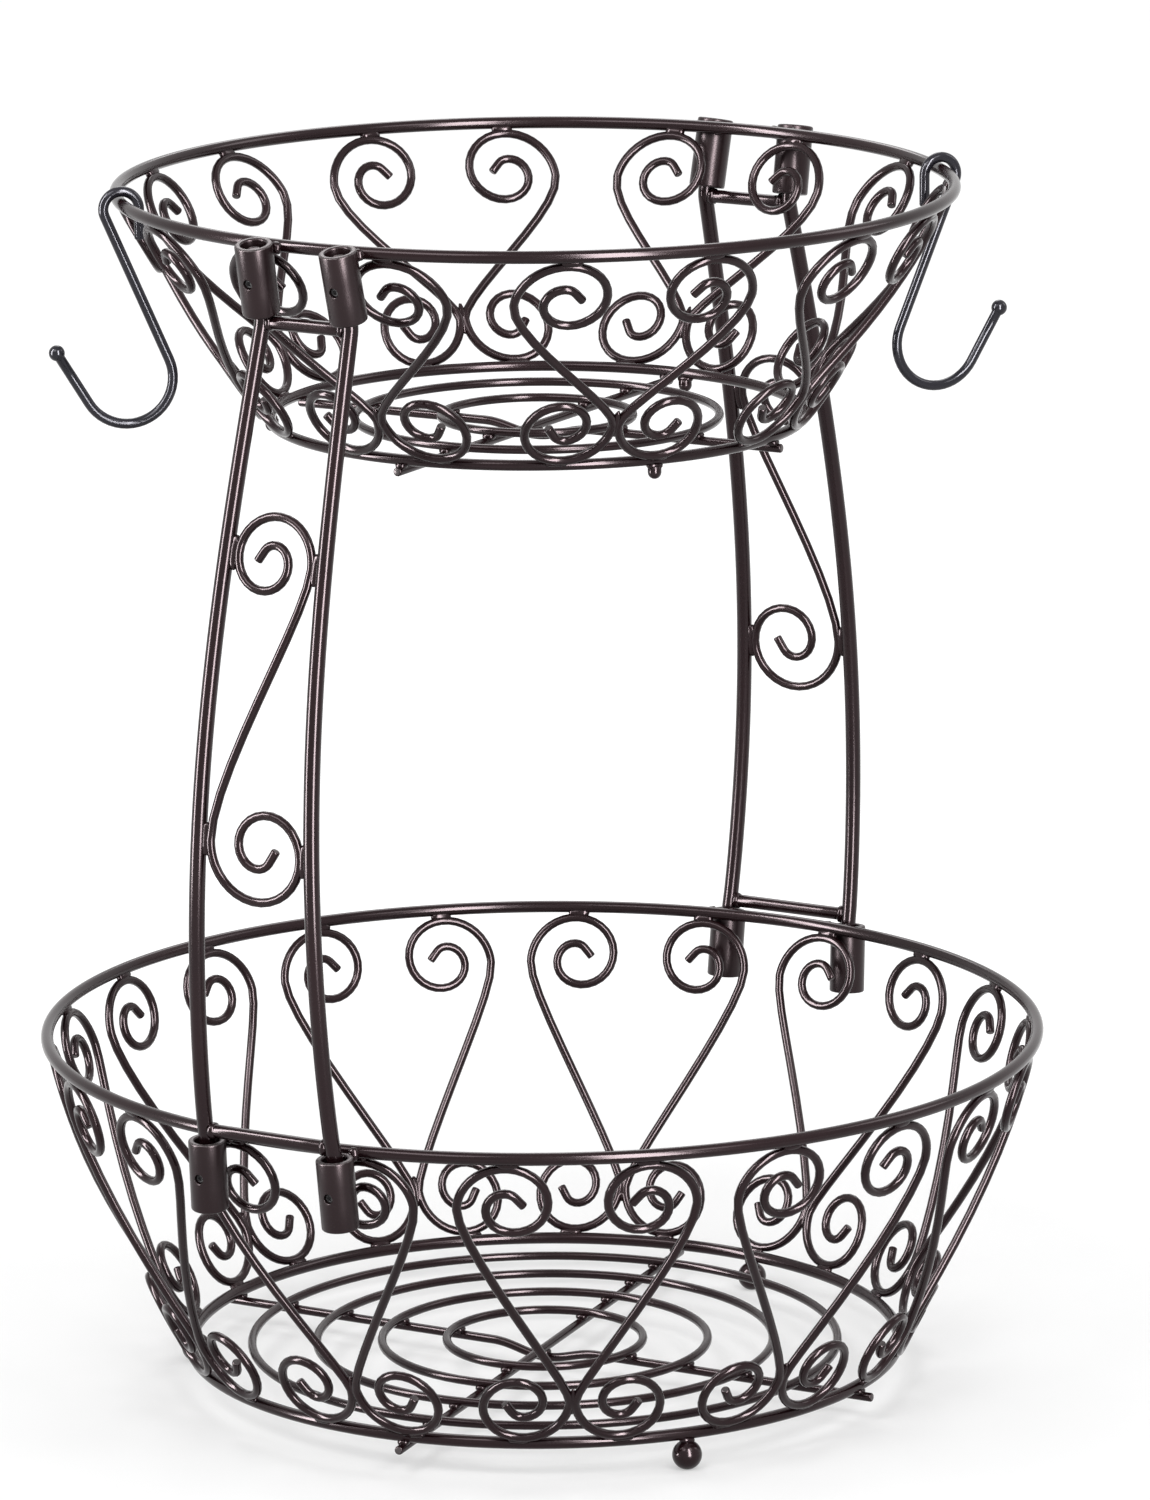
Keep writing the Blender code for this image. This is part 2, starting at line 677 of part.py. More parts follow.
ladder_line = Ladder(lower_bowl, upper_bowl)
for ladder_name, ladder_turn in (("front", 0), ("back", HALF_TURN)):
    turn_matrix = Matrix.Rotation(ladder_turn, 4, "Z")
    make_sockets(ladder_name, ladder_line, turn_matrix)
    make_ladder(ladder_name, ladder_line, turn_matrix)

for hook_number, (hook_angle, hook_twist) in enumerate(zip(HOOK_ANGLES, HOOK_TWISTS), 1):
    make_hook(f"hook_{hook_number}", upper_bowl, math.radians(hook_angle), math.radians(hook_twist))

bpy.context.view_layer.update()
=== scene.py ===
"""Looks of the two-tier wire fruit basket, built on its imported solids.

Every wire is swept again along the line that its solid follows, finely enough to look round, with rounded
cut ends. Weld beads, turned sockets, grub screws and a procedural powder coat come on top. Lengths are in
metres and +Z is up. The basket stands on Z = 0, and angles round it are counted from the front (-Y)
towards +X.
"""

import math
import random

import bmesh
import bpy
import numpy as np
from mathutils import Matrix, Quaternion, Vector, noise


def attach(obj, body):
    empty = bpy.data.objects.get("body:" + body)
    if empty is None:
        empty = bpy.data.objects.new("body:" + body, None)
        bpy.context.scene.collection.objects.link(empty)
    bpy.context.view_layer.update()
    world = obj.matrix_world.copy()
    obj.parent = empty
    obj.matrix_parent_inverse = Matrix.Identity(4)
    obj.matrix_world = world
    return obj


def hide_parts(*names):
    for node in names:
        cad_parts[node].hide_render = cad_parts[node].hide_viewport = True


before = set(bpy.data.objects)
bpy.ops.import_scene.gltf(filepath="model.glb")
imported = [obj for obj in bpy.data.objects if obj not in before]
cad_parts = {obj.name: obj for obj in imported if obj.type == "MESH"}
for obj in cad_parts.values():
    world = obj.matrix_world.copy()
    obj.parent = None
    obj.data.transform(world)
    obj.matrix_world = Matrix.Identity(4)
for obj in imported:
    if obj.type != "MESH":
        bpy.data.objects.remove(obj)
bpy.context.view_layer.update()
scene = bpy.context.scene

# Wire and tube thicknesses
RIM_WIRE = 0.0039
THIN_WIRE = 0.0028
POST_WIRE = 0.0049
CROSSBAR_WIRE = 0.0042
HOOK_WIRE = 0.0032

# Height from the lower rim to the upper rim, between wire centres
TIER_STEP = 0.2660

# Scrolls of the walls
UPPER_CURL_BEND = 0.0157
LOWER_CURL_BEND = 0.0150
CURL_TIP_BEND = 0.0035
UPPER_CURL_TURN = math.radians(500)
LOWER_CURL_TURN = math.radians(508)
CURL_STRAIGHT_TIP = 0.0042
CURL_TIGHTENING_SHARE = 1.05
STEM_UPPER_HANDLE = 0.0130
STEM_LOWER_HANDLE = 0.0075
PAIR_OVERLAP = 0.0010
BELLY_RISE_SHARE = 0.75

# How far the dip of a cross wire spreads each way, in dips
DIP_SPREAD = 6

# Feet and pegs
BALL_FOOT_RADIUS = 0.0046
BALL_FOOT_FLAT = 0.0003
PEG_RADIUS = 0.0021
PEG_LENGTH = 0.0040
PEG_TOP_SHARE = 0.9
PEG_SHOULDER_SHARE = 0.97
FEET = 3

# Sockets for the ladder posts, and the grub screws in them
SOCKET_OUTER = 0.0114
SOCKET_BORE = 0.0076
SOCKET_LENGTH = 0.0220
SOCKET_EDGE = 0.0006
SOCKET_RIM_WEAR = 0.8
SCREW_HOLE = 0.0030
COUNTERSINK = 0.0002
SCREW_CLEARANCE = 0.0001
SCREW_DEPTH = 0.0010
SCREW_EDGE = 0.0002
SCREW_OVERHANG = 0.0003
HEXAGON_RADIUS = 0.00068
HEXAGON_DEPTH = 0.0005
HEXAGON_END = 0.0001

# Ladders
LADDER_TWIST = math.radians(1.0)
LADDER_BOW = 0.0165
LADDER_BOW_SHARE = 0.88
POST_SET_BACK = 0.0015
POST_BEND_BELOW = 0.0022
POST_BEND_REACH = 0.0020
LOW_CROSSBAR_HEIGHT = 0.0028
CROSSBAR_BELOW_SOCKET = 0.0028
CROSSBAR_SHARES = (-1, -0.6, -0.2, 0.2, 0.6, 1)
LADDER_SCROLL_TOP = 0.1888
LADDER_SCROLL_BOTTOM = 0.0764
LADDER_CURL_TURN = math.radians(508)
LADDER_CURL_TIP_SHARE = 0.22
LADDER_STRAIGHT_TIP_SHARE = 0.27

# Hooks on the upper rim: each one's place round it and its twist, in degrees
HOOKS = ((133.5, 12.0), (-47.0, 0.0))
HOOK_ARCH_RADIUS = 0.0055
HOOK_INNER_LEG = 0.0095
HOOK_LEG_LEAN = math.radians(23)
HOOK_LEG = 0.0485
HOOK_CRADLE_RADIUS = 0.0140
HOOK_TIP_LEAN = math.radians(31)
HOOK_TIP = 0.0187
HOOK_BALL_RADIUS = 0.0025

# Clearance between the solids of touching pieces, and how near points are merged
GAP = 0.0003
MERGE = 0.00002

# Welds: three half sizes, then how square the block is
FLOOR_WELD = (0.0019, 0.0018, 0.0011, 2.6)
CROSS_WELD = (0.0019, 0.0019, 0.0011, 2.6)
RIM_WELD = (0.0033, 0.0013, 0.0013, 3.6)
BASE_WELD = (0.0034, 0.0012, 0.0012, 3.2)
PAIR_WELD = (0.0052, 0.0012, 0.0011, 2.2)
FOOT_WELD = (0.0024, 0.0017, 0.0011, 2.6)
CROSSBAR_WELD = (0.0015, 0.00255, 0.0027, 2.4)
LADDER_SCROLL_WELD = (0.0050, 0.0014, 0.0012, 4.5)
SOCKET_WELD = (0.0018, 0.0015, 0.0021, 2.2)

# Where the welds of a socket sit: to each side of it, out from the rim, and below the rim's centre
SOCKET_WELD_ASIDE = 0.0036
SOCKET_WELD_OUT = 0.0002
SOCKET_WELD_DROP = 0.0004

# How uneven the welds are
WELD_LUMPS = 0.10
SOCKET_WELD_LUMPS = 0.18
WELD_LUMP_SCALE = 1.4
WELD_STRETCH = (0.92, 1.08)
SEED_RANGE = 9
DRAW_SEED = 11

# Turns and the way up
QUARTER_TURN = math.pi / 2
HALF_TURN = math.pi
FULL_TURN = math.tau
UP = Vector((0, 0, 1))

# How finely each line is divided. The curls keep the solids' own steps and add points between them
CURL_STEPS = 10
CURL_STEP_SHARE = 1.3
CURL_SUBSTEPS = 12
CURL_EVERY = 3
STEM_STEPS = 10
POST_STEPS = 40
BEND_STEPS = 6
CROSS_STEPS = 6
DIP_STEPS = 18
SEAT_STEPS = 16
SOCKET_WALL_STEPS = 8
RIM_SEGMENTS = 216
RING_SEGMENTS = 144
FEWEST_SEGMENTS = 48
THICK_SIDES = 20
HOOK_SIDES = 16
THIN_SIDES = 12
EDGE_STEPS = 3
TURNED_STEPS = 48
SMALL_TURNED_STEPS = 24
BALL_FOOT_STEPS = 20
PEG_END_STEPS = 8
HOOK_BEND_STEPS = 24
HOOK_BALL_STEPS = 10
BEAD_SIDES = 14
BEAD_RINGS = 8

# How far a round end's last ring stays off the pole: in steps, and for a hook's ball as a share of its neck
END_GAP = 0.3
BEAD_END_GAP = 0.15
BALL_END_SHARE = 1 / 6

# Rounding of the cut wire ends, as a share of the wire's radius, and the room that it takes, in roundings
CUT_EDGE_SHARE = 0.35
CUT_EDGE_ROOM = 1.2

# From which angle between faces an edge is sharp
WIRE_SHARP = math.radians(70)
FOOT_SHARP = math.radians(60)
SOCKET_SHARP = math.radians(35)
SCREW_SHARP = math.radians(30)

# How much each pattern of the powder coat tints it
CLOUD_SHARE = 0.7
GRAIN_SHARE = 0.3
FLECK_SHARE = 0.35

# Worn edges of the powder coat: how easily they rub through, and how the metal under it looks
WEAR_LEAST = 0.6
WEAR_GRAIN = 0.8
WEAR_SHARE = 0.55
RUBBED_COLOUR = (0.16, 0.15, 0.15, 1.0)
RUBBED_ROUGHNESS = 0.15
RUBBED_METALLIC = 0.3

# Gloss of the powder coat and its orange peel
FLECK_METALLIC = 0.08
GLOSS_SPREAD = 0.05
GRAIN_HEIGHT = 0.25

# Grub screws
SCREW_DARK = (0.006, 0.005, 0.006, 1.0)
SCREW_WORN = (0.022, 0.020, 0.021, 1.0)
SCREW_ROUGHNESS = 0.55
SCREW_ROUGHNESS_SPREAD = 0.2

# The floor, and how much it adds for the camera near the basket and far off, so that its lit part shows white
FLOOR_HALF = 30.0
FLOOR_DARK = (0.49, 0.49, 0.49, 1.0)
FLOOR_LIGHT = (0.51, 0.51, 0.51, 1.0)
NEAR_GLOW = 0.38
FAR_GLOW = 0.65
GLOW_START = 0.13
GLOW_END = 0.60

# The camera's direction
VIEW_ANGLE = math.radians(31)
VIEW_DIP = math.radians(12.94)
CAMERA_ROLL = math.radians(-0.43)

# Soft boxes: the angle round the basket and above it in degrees, distance, width, height and power in watts
LAMP_AIM = Vector((0, 0, 0.2))
SOFT_BOXES = {
    "soft_box_left": (-8, 48, 1.8, 1.0, 0.7, 14),
    "soft_box_right": (66, 44, 1.8, 0.8, 0.7, 8),
    "soft_box_side": (132, 35, 2.0, 0.6, 0.9, 6),
    "soft_box_back": (214, 40, 2.0, 0.8, 0.9, 8),
}
TALL_BOXES = {
    "tall_box_left": (-44, 0, 1.2, 0.26, 1.6, 56),
    "tall_box_right": (52, 0, 1.2, 0.34, 1.6, 72),
}

# How strong the room's own light on the basket is
ROOM_LIGHT = 0.70


def polar(reach, angle, height):
    """The point at a distance from the Z axis, at an angle from the front towards +X."""
    return Vector((reach * math.sin(angle), -reach * math.cos(angle), height))


def circle(steps):
    """The cosine and sine of each of the equal steps round a circle."""
    turns = [FULL_TURN * step / steps for step in range(steps)]
    return [(math.cos(turned_by), math.sin(turned_by)) for turned_by in turns]


def level_axes(angle):
    """The axes of a weld on a level ring: along the ring, outwards and up."""
    out = polar(1, angle, 0)
    return UP.cross(out), out, UP


class Surface:
    """A mesh in the making: closed shapes are added to it, then it becomes one piece."""

    def __init__(self):
        self.verts = []
        self.faces = []
        self.wear = []

    def loft(self, rings, closed=False, wear=None):
        """Skin over rings of points. An open loft gets a centre point at each end."""
        count = len(rings)
        sides = len(rings[0])
        first = len(self.verts)
        wear = wear or [0.0] * count
        for worn, ring in zip(wear, rings):
            self.verts += [tuple(point) for point in ring]
            self.wear += [worn] * sides
        spans = count if closed else count - 1
        for span in range(spans):
            here = first + span * sides
            there = first + (span + 1) % count * sides
            for side in range(sides):
                other = (side + 1) % sides
                self.faces.append((here + side, here + other, there + other, there + side))
        if closed:
            return
        for ring_index, order in ((0, -1), (count - 1, 1)):
            start = first + ring_index * sides
            middle = len(self.verts)
            end_ring = np.array([tuple(point) for point in rings[ring_index]])
            self.verts.append(tuple(np.mean(end_ring, axis=0)))
            self.wear.append(wear[ring_index])
            for side in range(sides):
                other = (side + 1) % sides
                corner = (start + side, start + other)[::order]
                self.faces.append((corner[0], corner[1], middle))

    def wire(self, points, thickness, sides=THIN_SIDES, swell=None, rounded=(True, True)):
        """A round wire along points. Its cut ends, the first and then the last, are rounded and worn."""
        line = [Vector(point) for point in points]
        radius = thickness / 2
        edge = radius * CUT_EDGE_SHARE
        rows = [(point, share, 0.0) for point, share in zip(line, swell or [1.0] * len(line))]
        for is_cut in rounded:
            rows.reverse()
            if not is_cut:
                continue
            spot = rows[-1][0]
            way = (spot - rows[-2][0]).normalized()
            rows.pop()
            while (rows[-1][0] - spot).length < CUT_EDGE_ROOM * edge:
                rows.pop()
            for step in range(EDGE_STEPS + 1):
                turned_by = QUARTER_TURN * step / EDGE_STEPS
                back = edge * (math.sin(turned_by) - 1)
                narrow = (radius - edge + edge * math.cos(turned_by)) / radius
                rows.append((spot + back * way, narrow, step / EDGE_STEPS))
        centres = [row[0] for row in rows]
        normal = None
        rings = []
        for index, (centre, share, _) in enumerate(rows):
            before = centres[max(index - 1, 0)]
            after = centres[min(index + 1, len(centres) - 1)]
            way = (after - before).normalized()
            if normal is None:
                normal = way.orthogonal().normalized()
            else:
                normal = (normal - normal.dot(way) * way).normalized()
            other = way.cross(normal)
            size = radius * share
            rings.append([centre + size * (cosine * normal + sine * other) for cosine, sine in circle(sides)])
        self.loft(rings, wear=[row[2] for row in rows])

    def torus(self, radius, thickness, height, segments, sides):
        """A level closed ring of wire."""
        half = thickness / 2
        rings = []
        for segment in range(segments):
            angle = FULL_TURN * segment / segments
            rings.append([polar(radius + half * out, angle, height + half * up) for out, up in circle(sides)])
        self.loft(rings, closed=True)

    def turned(self, profile, place, steps=TURNED_STEPS, **skin):
        """A turned shape from (radius, height) points that run down its outer side."""
        rings = []
        for radius, height in profile:
            rings.append([place @ Vector((radius * out, -radius * on, height)) for out, on in circle(steps)])
        self.loft(rings, **skin)

    def bead(self, centre, axes, weld, lumps=WELD_LUMPS):
        """A lump of weld: a rounded block along three axes, a little uneven."""
        *half_sizes, squareness = weld
        seed = Vector([draw.uniform(-SEED_RANGE, SEED_RANGE) for _ in axes])
        stretch = [size * draw.uniform(*WELD_STRETCH) for size in half_sizes]
        rings = []
        for step in range(BEAD_RINGS + 1):
            latitude = HALF_TURN * (step + BEAD_END_GAP) / (BEAD_RINGS + 2 * BEAD_END_GAP)
            ring = []
            for cosine, sine in circle(BEAD_SIDES):
                round_it = math.sin(latitude)
                ball = Vector((math.cos(latitude), round_it * cosine, round_it * sine))
                power = sum(abs(value) ** squareness for value in ball) ** (1 / squareness)
                ball *= (1 + lumps * noise.noise(WELD_LUMP_SCALE * ball + seed)) / power
                spot = Vector(centre)
                for value, size, axis in zip(ball, stretch, axes):
                    spot += value * size * axis
                ring.append(spot)
            rings.append(ring)
        self.loft(rings)

    def mesh(self, name):
        """The shapes as one mesh, with how worn each point is."""
        mesh = bpy.data.meshes.new(name)
        mesh.from_pydata(self.verts, [], self.faces)
        worn = mesh.attributes.new("wear", "FLOAT", "POINT")
        worn.data.foreach_set("value", np.array(self.wear, np.float32))
        return mesh

    def piece(self, name, nodes=(), **looks):
        """Make the shapes one piece, which stands for the named solids."""
        mesh = self.mesh(name)
        face_outwards(mesh)
        finish_piece(name, mesh, nodes, **looks)


def face_outwards(mesh):
    """Turn the faces of a closed mesh outwards."""
    shape = bmesh.new()
    shape.from_mesh(mesh)
    bmesh.ops.recalc_face_normals(shape, faces=shape.faces)
    shape.to_mesh(mesh)
    shape.free()


def finish_piece(name, mesh, nodes, coat=None, body="stand", slot="bronze_coat", sharp=WIRE_SHARP):
    """Link a mesh as a piece, coat it, in bronze unless told, tie it to its body and hide the solids that it
    stands for.
    """
    mesh.shade_smooth()
    mesh.set_sharp_from_angle(angle=sharp)
    made = bpy.data.objects.new(name, mesh)
    made.data.materials.append(bronze if coat is None else coat)
    dressed.objects.link(made)
    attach(made, body)
    if nodes:
        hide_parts(*nodes)


def wire_piece(node, points, thickness, sides=THIN_SIDES):
    """One round wire, which stands for a solid."""
    made = Surface()
    made.wire(points, thickness, sides)
    made.piece(node + "_dressed", [node])


class Value:
    """A socket of a node tree. Sums and products on it add Math nodes."""

    def __init__(self, tree, socket):
        self.tree = tree
        self.socket = socket

    def math(self, operation, first, second):
        return add_node(self.tree, "ShaderNodeMath", {"operation": operation}, {0: first, 1: second})

    def __add__(self, other):
        return self.math("ADD", self, other)

    def __radd__(self, other):
        return self.math("ADD", other, self)

    def __sub__(self, other):
        return self.math("SUBTRACT", self, other)

    def __rsub__(self, other):
        return self.math("SUBTRACT", other, self)

    def __mul__(self, other):
        return self.math("MULTIPLY", self, other)

    def __rmul__(self, other):
        return self.math("MULTIPLY", other, self)

    def at_least(self, other):
        return self.math("MAXIMUM", self, other)

    def step(self, low, high):
        """0 below low, 1 above high, and smooth between."""
        settings = {"interpolation_type": "SMOOTHSTEP"}
        inputs = {0: self, 1: low, 2: high, 3: 0.0, 4: 1.0}
        return add_node(self.tree, "ShaderNodeMapRange", settings, inputs)


def add_node(tree, kind, settings=None, inputs=None, output=0):
    """Any node: its settings are set first, then the values or links of its sockets."""
    made = tree.nodes.new(kind)
    for key, value in (settings or {}).items():
        setattr(made, key, value)
    for key, value in (inputs or {}).items():
        if isinstance(value, Value):
            tree.links.new(value.socket, made.inputs[key])
        else:
            made.inputs[key].default_value = value
    return Value(tree, made.outputs[output])


def mix_colour(tree, factor, first, second):
    """One colour that turns into another as the factor goes from 0 to 1."""
    settings = {"data_type": "RGBA"}
    return add_node(tree, "ShaderNodeMix", settings, {0: factor, 6: first, 7: second}, output=2)


def shown_rays(tree):
    """1 for what the camera sees, straight or mirrored, and 0 for the light that falls on things."""
    seen = add_node(tree, "ShaderNodeLightPath", output=0)
    mirrored = add_node(tree, "ShaderNodeLightPath", output=3)
    return seen.at_least(mirrored)


class Coat:
    """A material in the making, its shader, and the place on the object that its patterns follow."""

    def __init__(self, name):
        self.material = bpy.data.materials.new(name)
        self.material.use_nodes = True
        self.tree = self.material.node_tree
        self.shader = self.tree.nodes["Principled BSDF"]
        self.place = add_node(self.tree, "ShaderNodeTexCoord", output=3)

    def noise(self, scale, detail=2.0, roughness=0.5):
        """Soft random variation. Scale is in bumps a metre."""
        inputs = {"Vector": self.place, "Scale": scale, "Detail": detail, "Roughness": roughness}
        return add_node(self.tree, "ShaderNodeTexNoise", None, inputs)

    def feed(self, socket, value):
        """Link a value to one of the shader's sockets, or set it there."""
        if isinstance(value, Value):
            self.tree.links.new(value.socket, self.shader.inputs[socket])
        else:
            self.shader.inputs[socket].default_value = value

    def bump(self, strength, distance, height):
        """Let a height bend the shader's normal."""
        inputs = {"Strength": strength, "Distance": distance, "Height": height}
        self.feed("Normal", add_node(self.tree, "ShaderNodeBump", None, inputs))


def powder_coat(name, dark, warm, fleck, roughness, gloss_tint=(1.0, 0.82, 0.86, 1.0)):
    """A baked coat: cloudy colour, fine metallic flecks, orange peel, and thin spots at worn edges."""
    coat = Coat(name)
    tree = coat.tree
    cloud = coat.noise(scale=26.0, detail=3.0)
    peel = coat.noise(scale=520.0)
    grain = coat.noise(scale=2400.0, roughness=0.6)
    flecks = add_node(tree, "ShaderNodeTexVoronoi", None, {"Vector": coat.place, "Scale": 1500.0})
    shine = 1 - flecks.step(low=0.10, high=0.24)
    worn = add_node(tree, "ShaderNodeAttribute", {"attribute_name": "wear"}, output=2)
    rubbed = (worn * (WEAR_LEAST + WEAR_GRAIN * grain)).step(low=0.62, high=0.95) * WEAR_SHARE
    warmth = cloud.step(low=0.35, high=0.65) * CLOUD_SHARE + grain * GRAIN_SHARE
    tint = mix_colour(tree, shine * FLECK_SHARE, mix_colour(tree, warmth, dark, warm), fleck)
    coat.feed("Base Color", mix_colour(tree, rubbed, tint, RUBBED_COLOUR))
    gloss = roughness + GLOSS_SPREAD * (cloud - 0.5) + GLOSS_SPREAD * (grain - 0.5)
    coat.feed("Roughness", gloss + RUBBED_ROUGHNESS * rubbed)
    coat.feed("Metallic", RUBBED_METALLIC * rubbed + FLECK_METALLIC * shine)
    coat.bump(strength=0.03, distance=0.00012, height=peel + GRAIN_HEIGHT * grain)
    coat.feed("IOR", 1.35)
    coat.feed("Specular Tint", gloss_tint)
    return coat.material


def blackened_steel(name):
    """Small oiled screws: near black and dull, with a fine grain of lighter worn spots."""
    coat = Coat(name)
    grain = coat.noise(scale=1800.0, detail=3.0)
    spots = grain.step(low=0.45, high=0.75)
    coat.feed("Base Color", mix_colour(coat.tree, spots, SCREW_DARK, SCREW_WORN))
    coat.feed("Roughness", SCREW_ROUGHNESS + SCREW_ROUGHNESS_SPREAD * grain)
    coat.feed("Metallic", 0.2)
    coat.bump(strength=0.4, distance=0.00005, height=grain)
    return coat.material


def studio_floor(name):
    """A plain white floor that shows white and keeps the basket's soft shadow."""
    coat = Coat(name)
    tree = coat.tree
    coat.feed("Base Color", mix_colour(tree, coat.noise(scale=3.0), FLOOR_DARK, FLOOR_LIGHT))
    coat.feed("Roughness", 0.9)
    coat.feed("Specular IOR Level", 0.0)
    reach = add_node(tree, "ShaderNodeVectorMath", {"operation": "LENGTH"}, {0: coat.place}, output=1)
    strength = NEAR_GLOW + (FAR_GLOW - NEAR_GLOW) * reach.step(GLOW_START, GLOW_END)
    glow = add_node(tree, "ShaderNodeEmission", None, {"Strength": shown_rays(tree) * strength})
    lit = Value(tree, coat.shader.outputs[0])
    total = add_node(tree, "ShaderNodeAddShader", None, {0: lit, 1: glow})
    tree.links.new(total.socket, tree.nodes["Material Output"].inputs["Surface"])
    return coat.material


draw = random.Random(DRAW_SEED)
dressed = bpy.data.collections.new("dressed_basket")
scene.collection.children.link(dressed)

bronze = powder_coat(
    "bronze_powder_coat",
    dark=(0.0074, 0.0028, 0.0034, 1.0),
    warm=(0.0130, 0.0044, 0.0054, 1.0),
    fleck=(0.036, 0.026, 0.028, 1.0),
    roughness=0.17,
)
socket_bronze = powder_coat(
    "socket_powder_coat",
    dark=(0.0080, 0.0032, 0.0037, 1.0),
    warm=(0.0135, 0.0056, 0.0064, 1.0),
    fleck=(0.040, 0.032, 0.034, 1.0),
    roughness=0.30,
)
hook_black = powder_coat(
    "hook_powder_coat",
    dark=(0.013, 0.013, 0.017, 1.0),
    warm=(0.021, 0.019, 0.025, 1.0),
    fleck=(0.050, 0.052, 0.060, 1.0),
    roughness=0.15,
    gloss_tint=(0.93, 0.92, 1.0, 1.0),
)
screw_steel = blackened_steel("grub_screw_steel")


def curl(outer_bend, tip_bend, turn, straight_tip):
    """Flat points of a curl, from its outer side to the end of its straight tip, on the solid's line."""
    here = Vector((0, 0))
    points = [here.copy()]
    for step in range(CURL_STEPS):
        start = turn * (step / CURL_STEPS) ** CURL_STEP_SHARE
        end = turn * ((step + 1) / CURL_STEPS) ** CURL_STEP_SHARE
        part = (end - start) / CURL_SUBSTEPS
        for substep in range(CURL_SUBSTEPS):
            turned_by = start + (substep + 1) * part - part / 2
            bend = outer_bend + (tip_bend - outer_bend) * (turned_by / turn) ** CURL_TIGHTENING_SHARE
            here += bend * part * Vector((math.sin(turned_by), -math.cos(turned_by)))
            if (substep + 1) % CURL_EVERY == 0:
                points.append(here.copy())
    for share in (0.5, 1):
        points.append(here + share * straight_tip * Vector((math.sin(turn), -math.cos(turn))))
    return points


def stem(top, bottom, upper_handle, lower_handle):
    """Points between two ends that both head straight down, along a smooth S line."""
    first = top - Vector((0, upper_handle))
    second = bottom + Vector((0, lower_handle))
    points = []
    for step in range(1, STEM_STEPS):
        share = step / STEM_STEPS
        rest = 1 - share
        point = rest ** 3 * top + 3 * rest ** 2 * share * first
        point += 3 * rest * share ** 2 * second + share ** 3 * bottom
        points.append(point)
    return points


def scroll_line(top, bottom, left, right, upper_curl, lower_curl, upper_handle, lower_handle):
    """A flat scroll: its upper curl hangs left of `right`, its lower curl lies right of `left`.

    Gives the line, how many of its points belong to the upper curl, and where the lower curl starts.
    """
    upper = [-point for point in upper_curl]
    start = Vector((right, top - max(point.y for point in upper)))
    end = Vector((left, bottom - min(point.y for point in lower_curl)))
    line = [start + point for point in reversed(upper)]
    split = len(line)
    line += stem(start, end, upper_handle, lower_handle)
    line += [end + point for point in lower_curl]
    return line, split, end


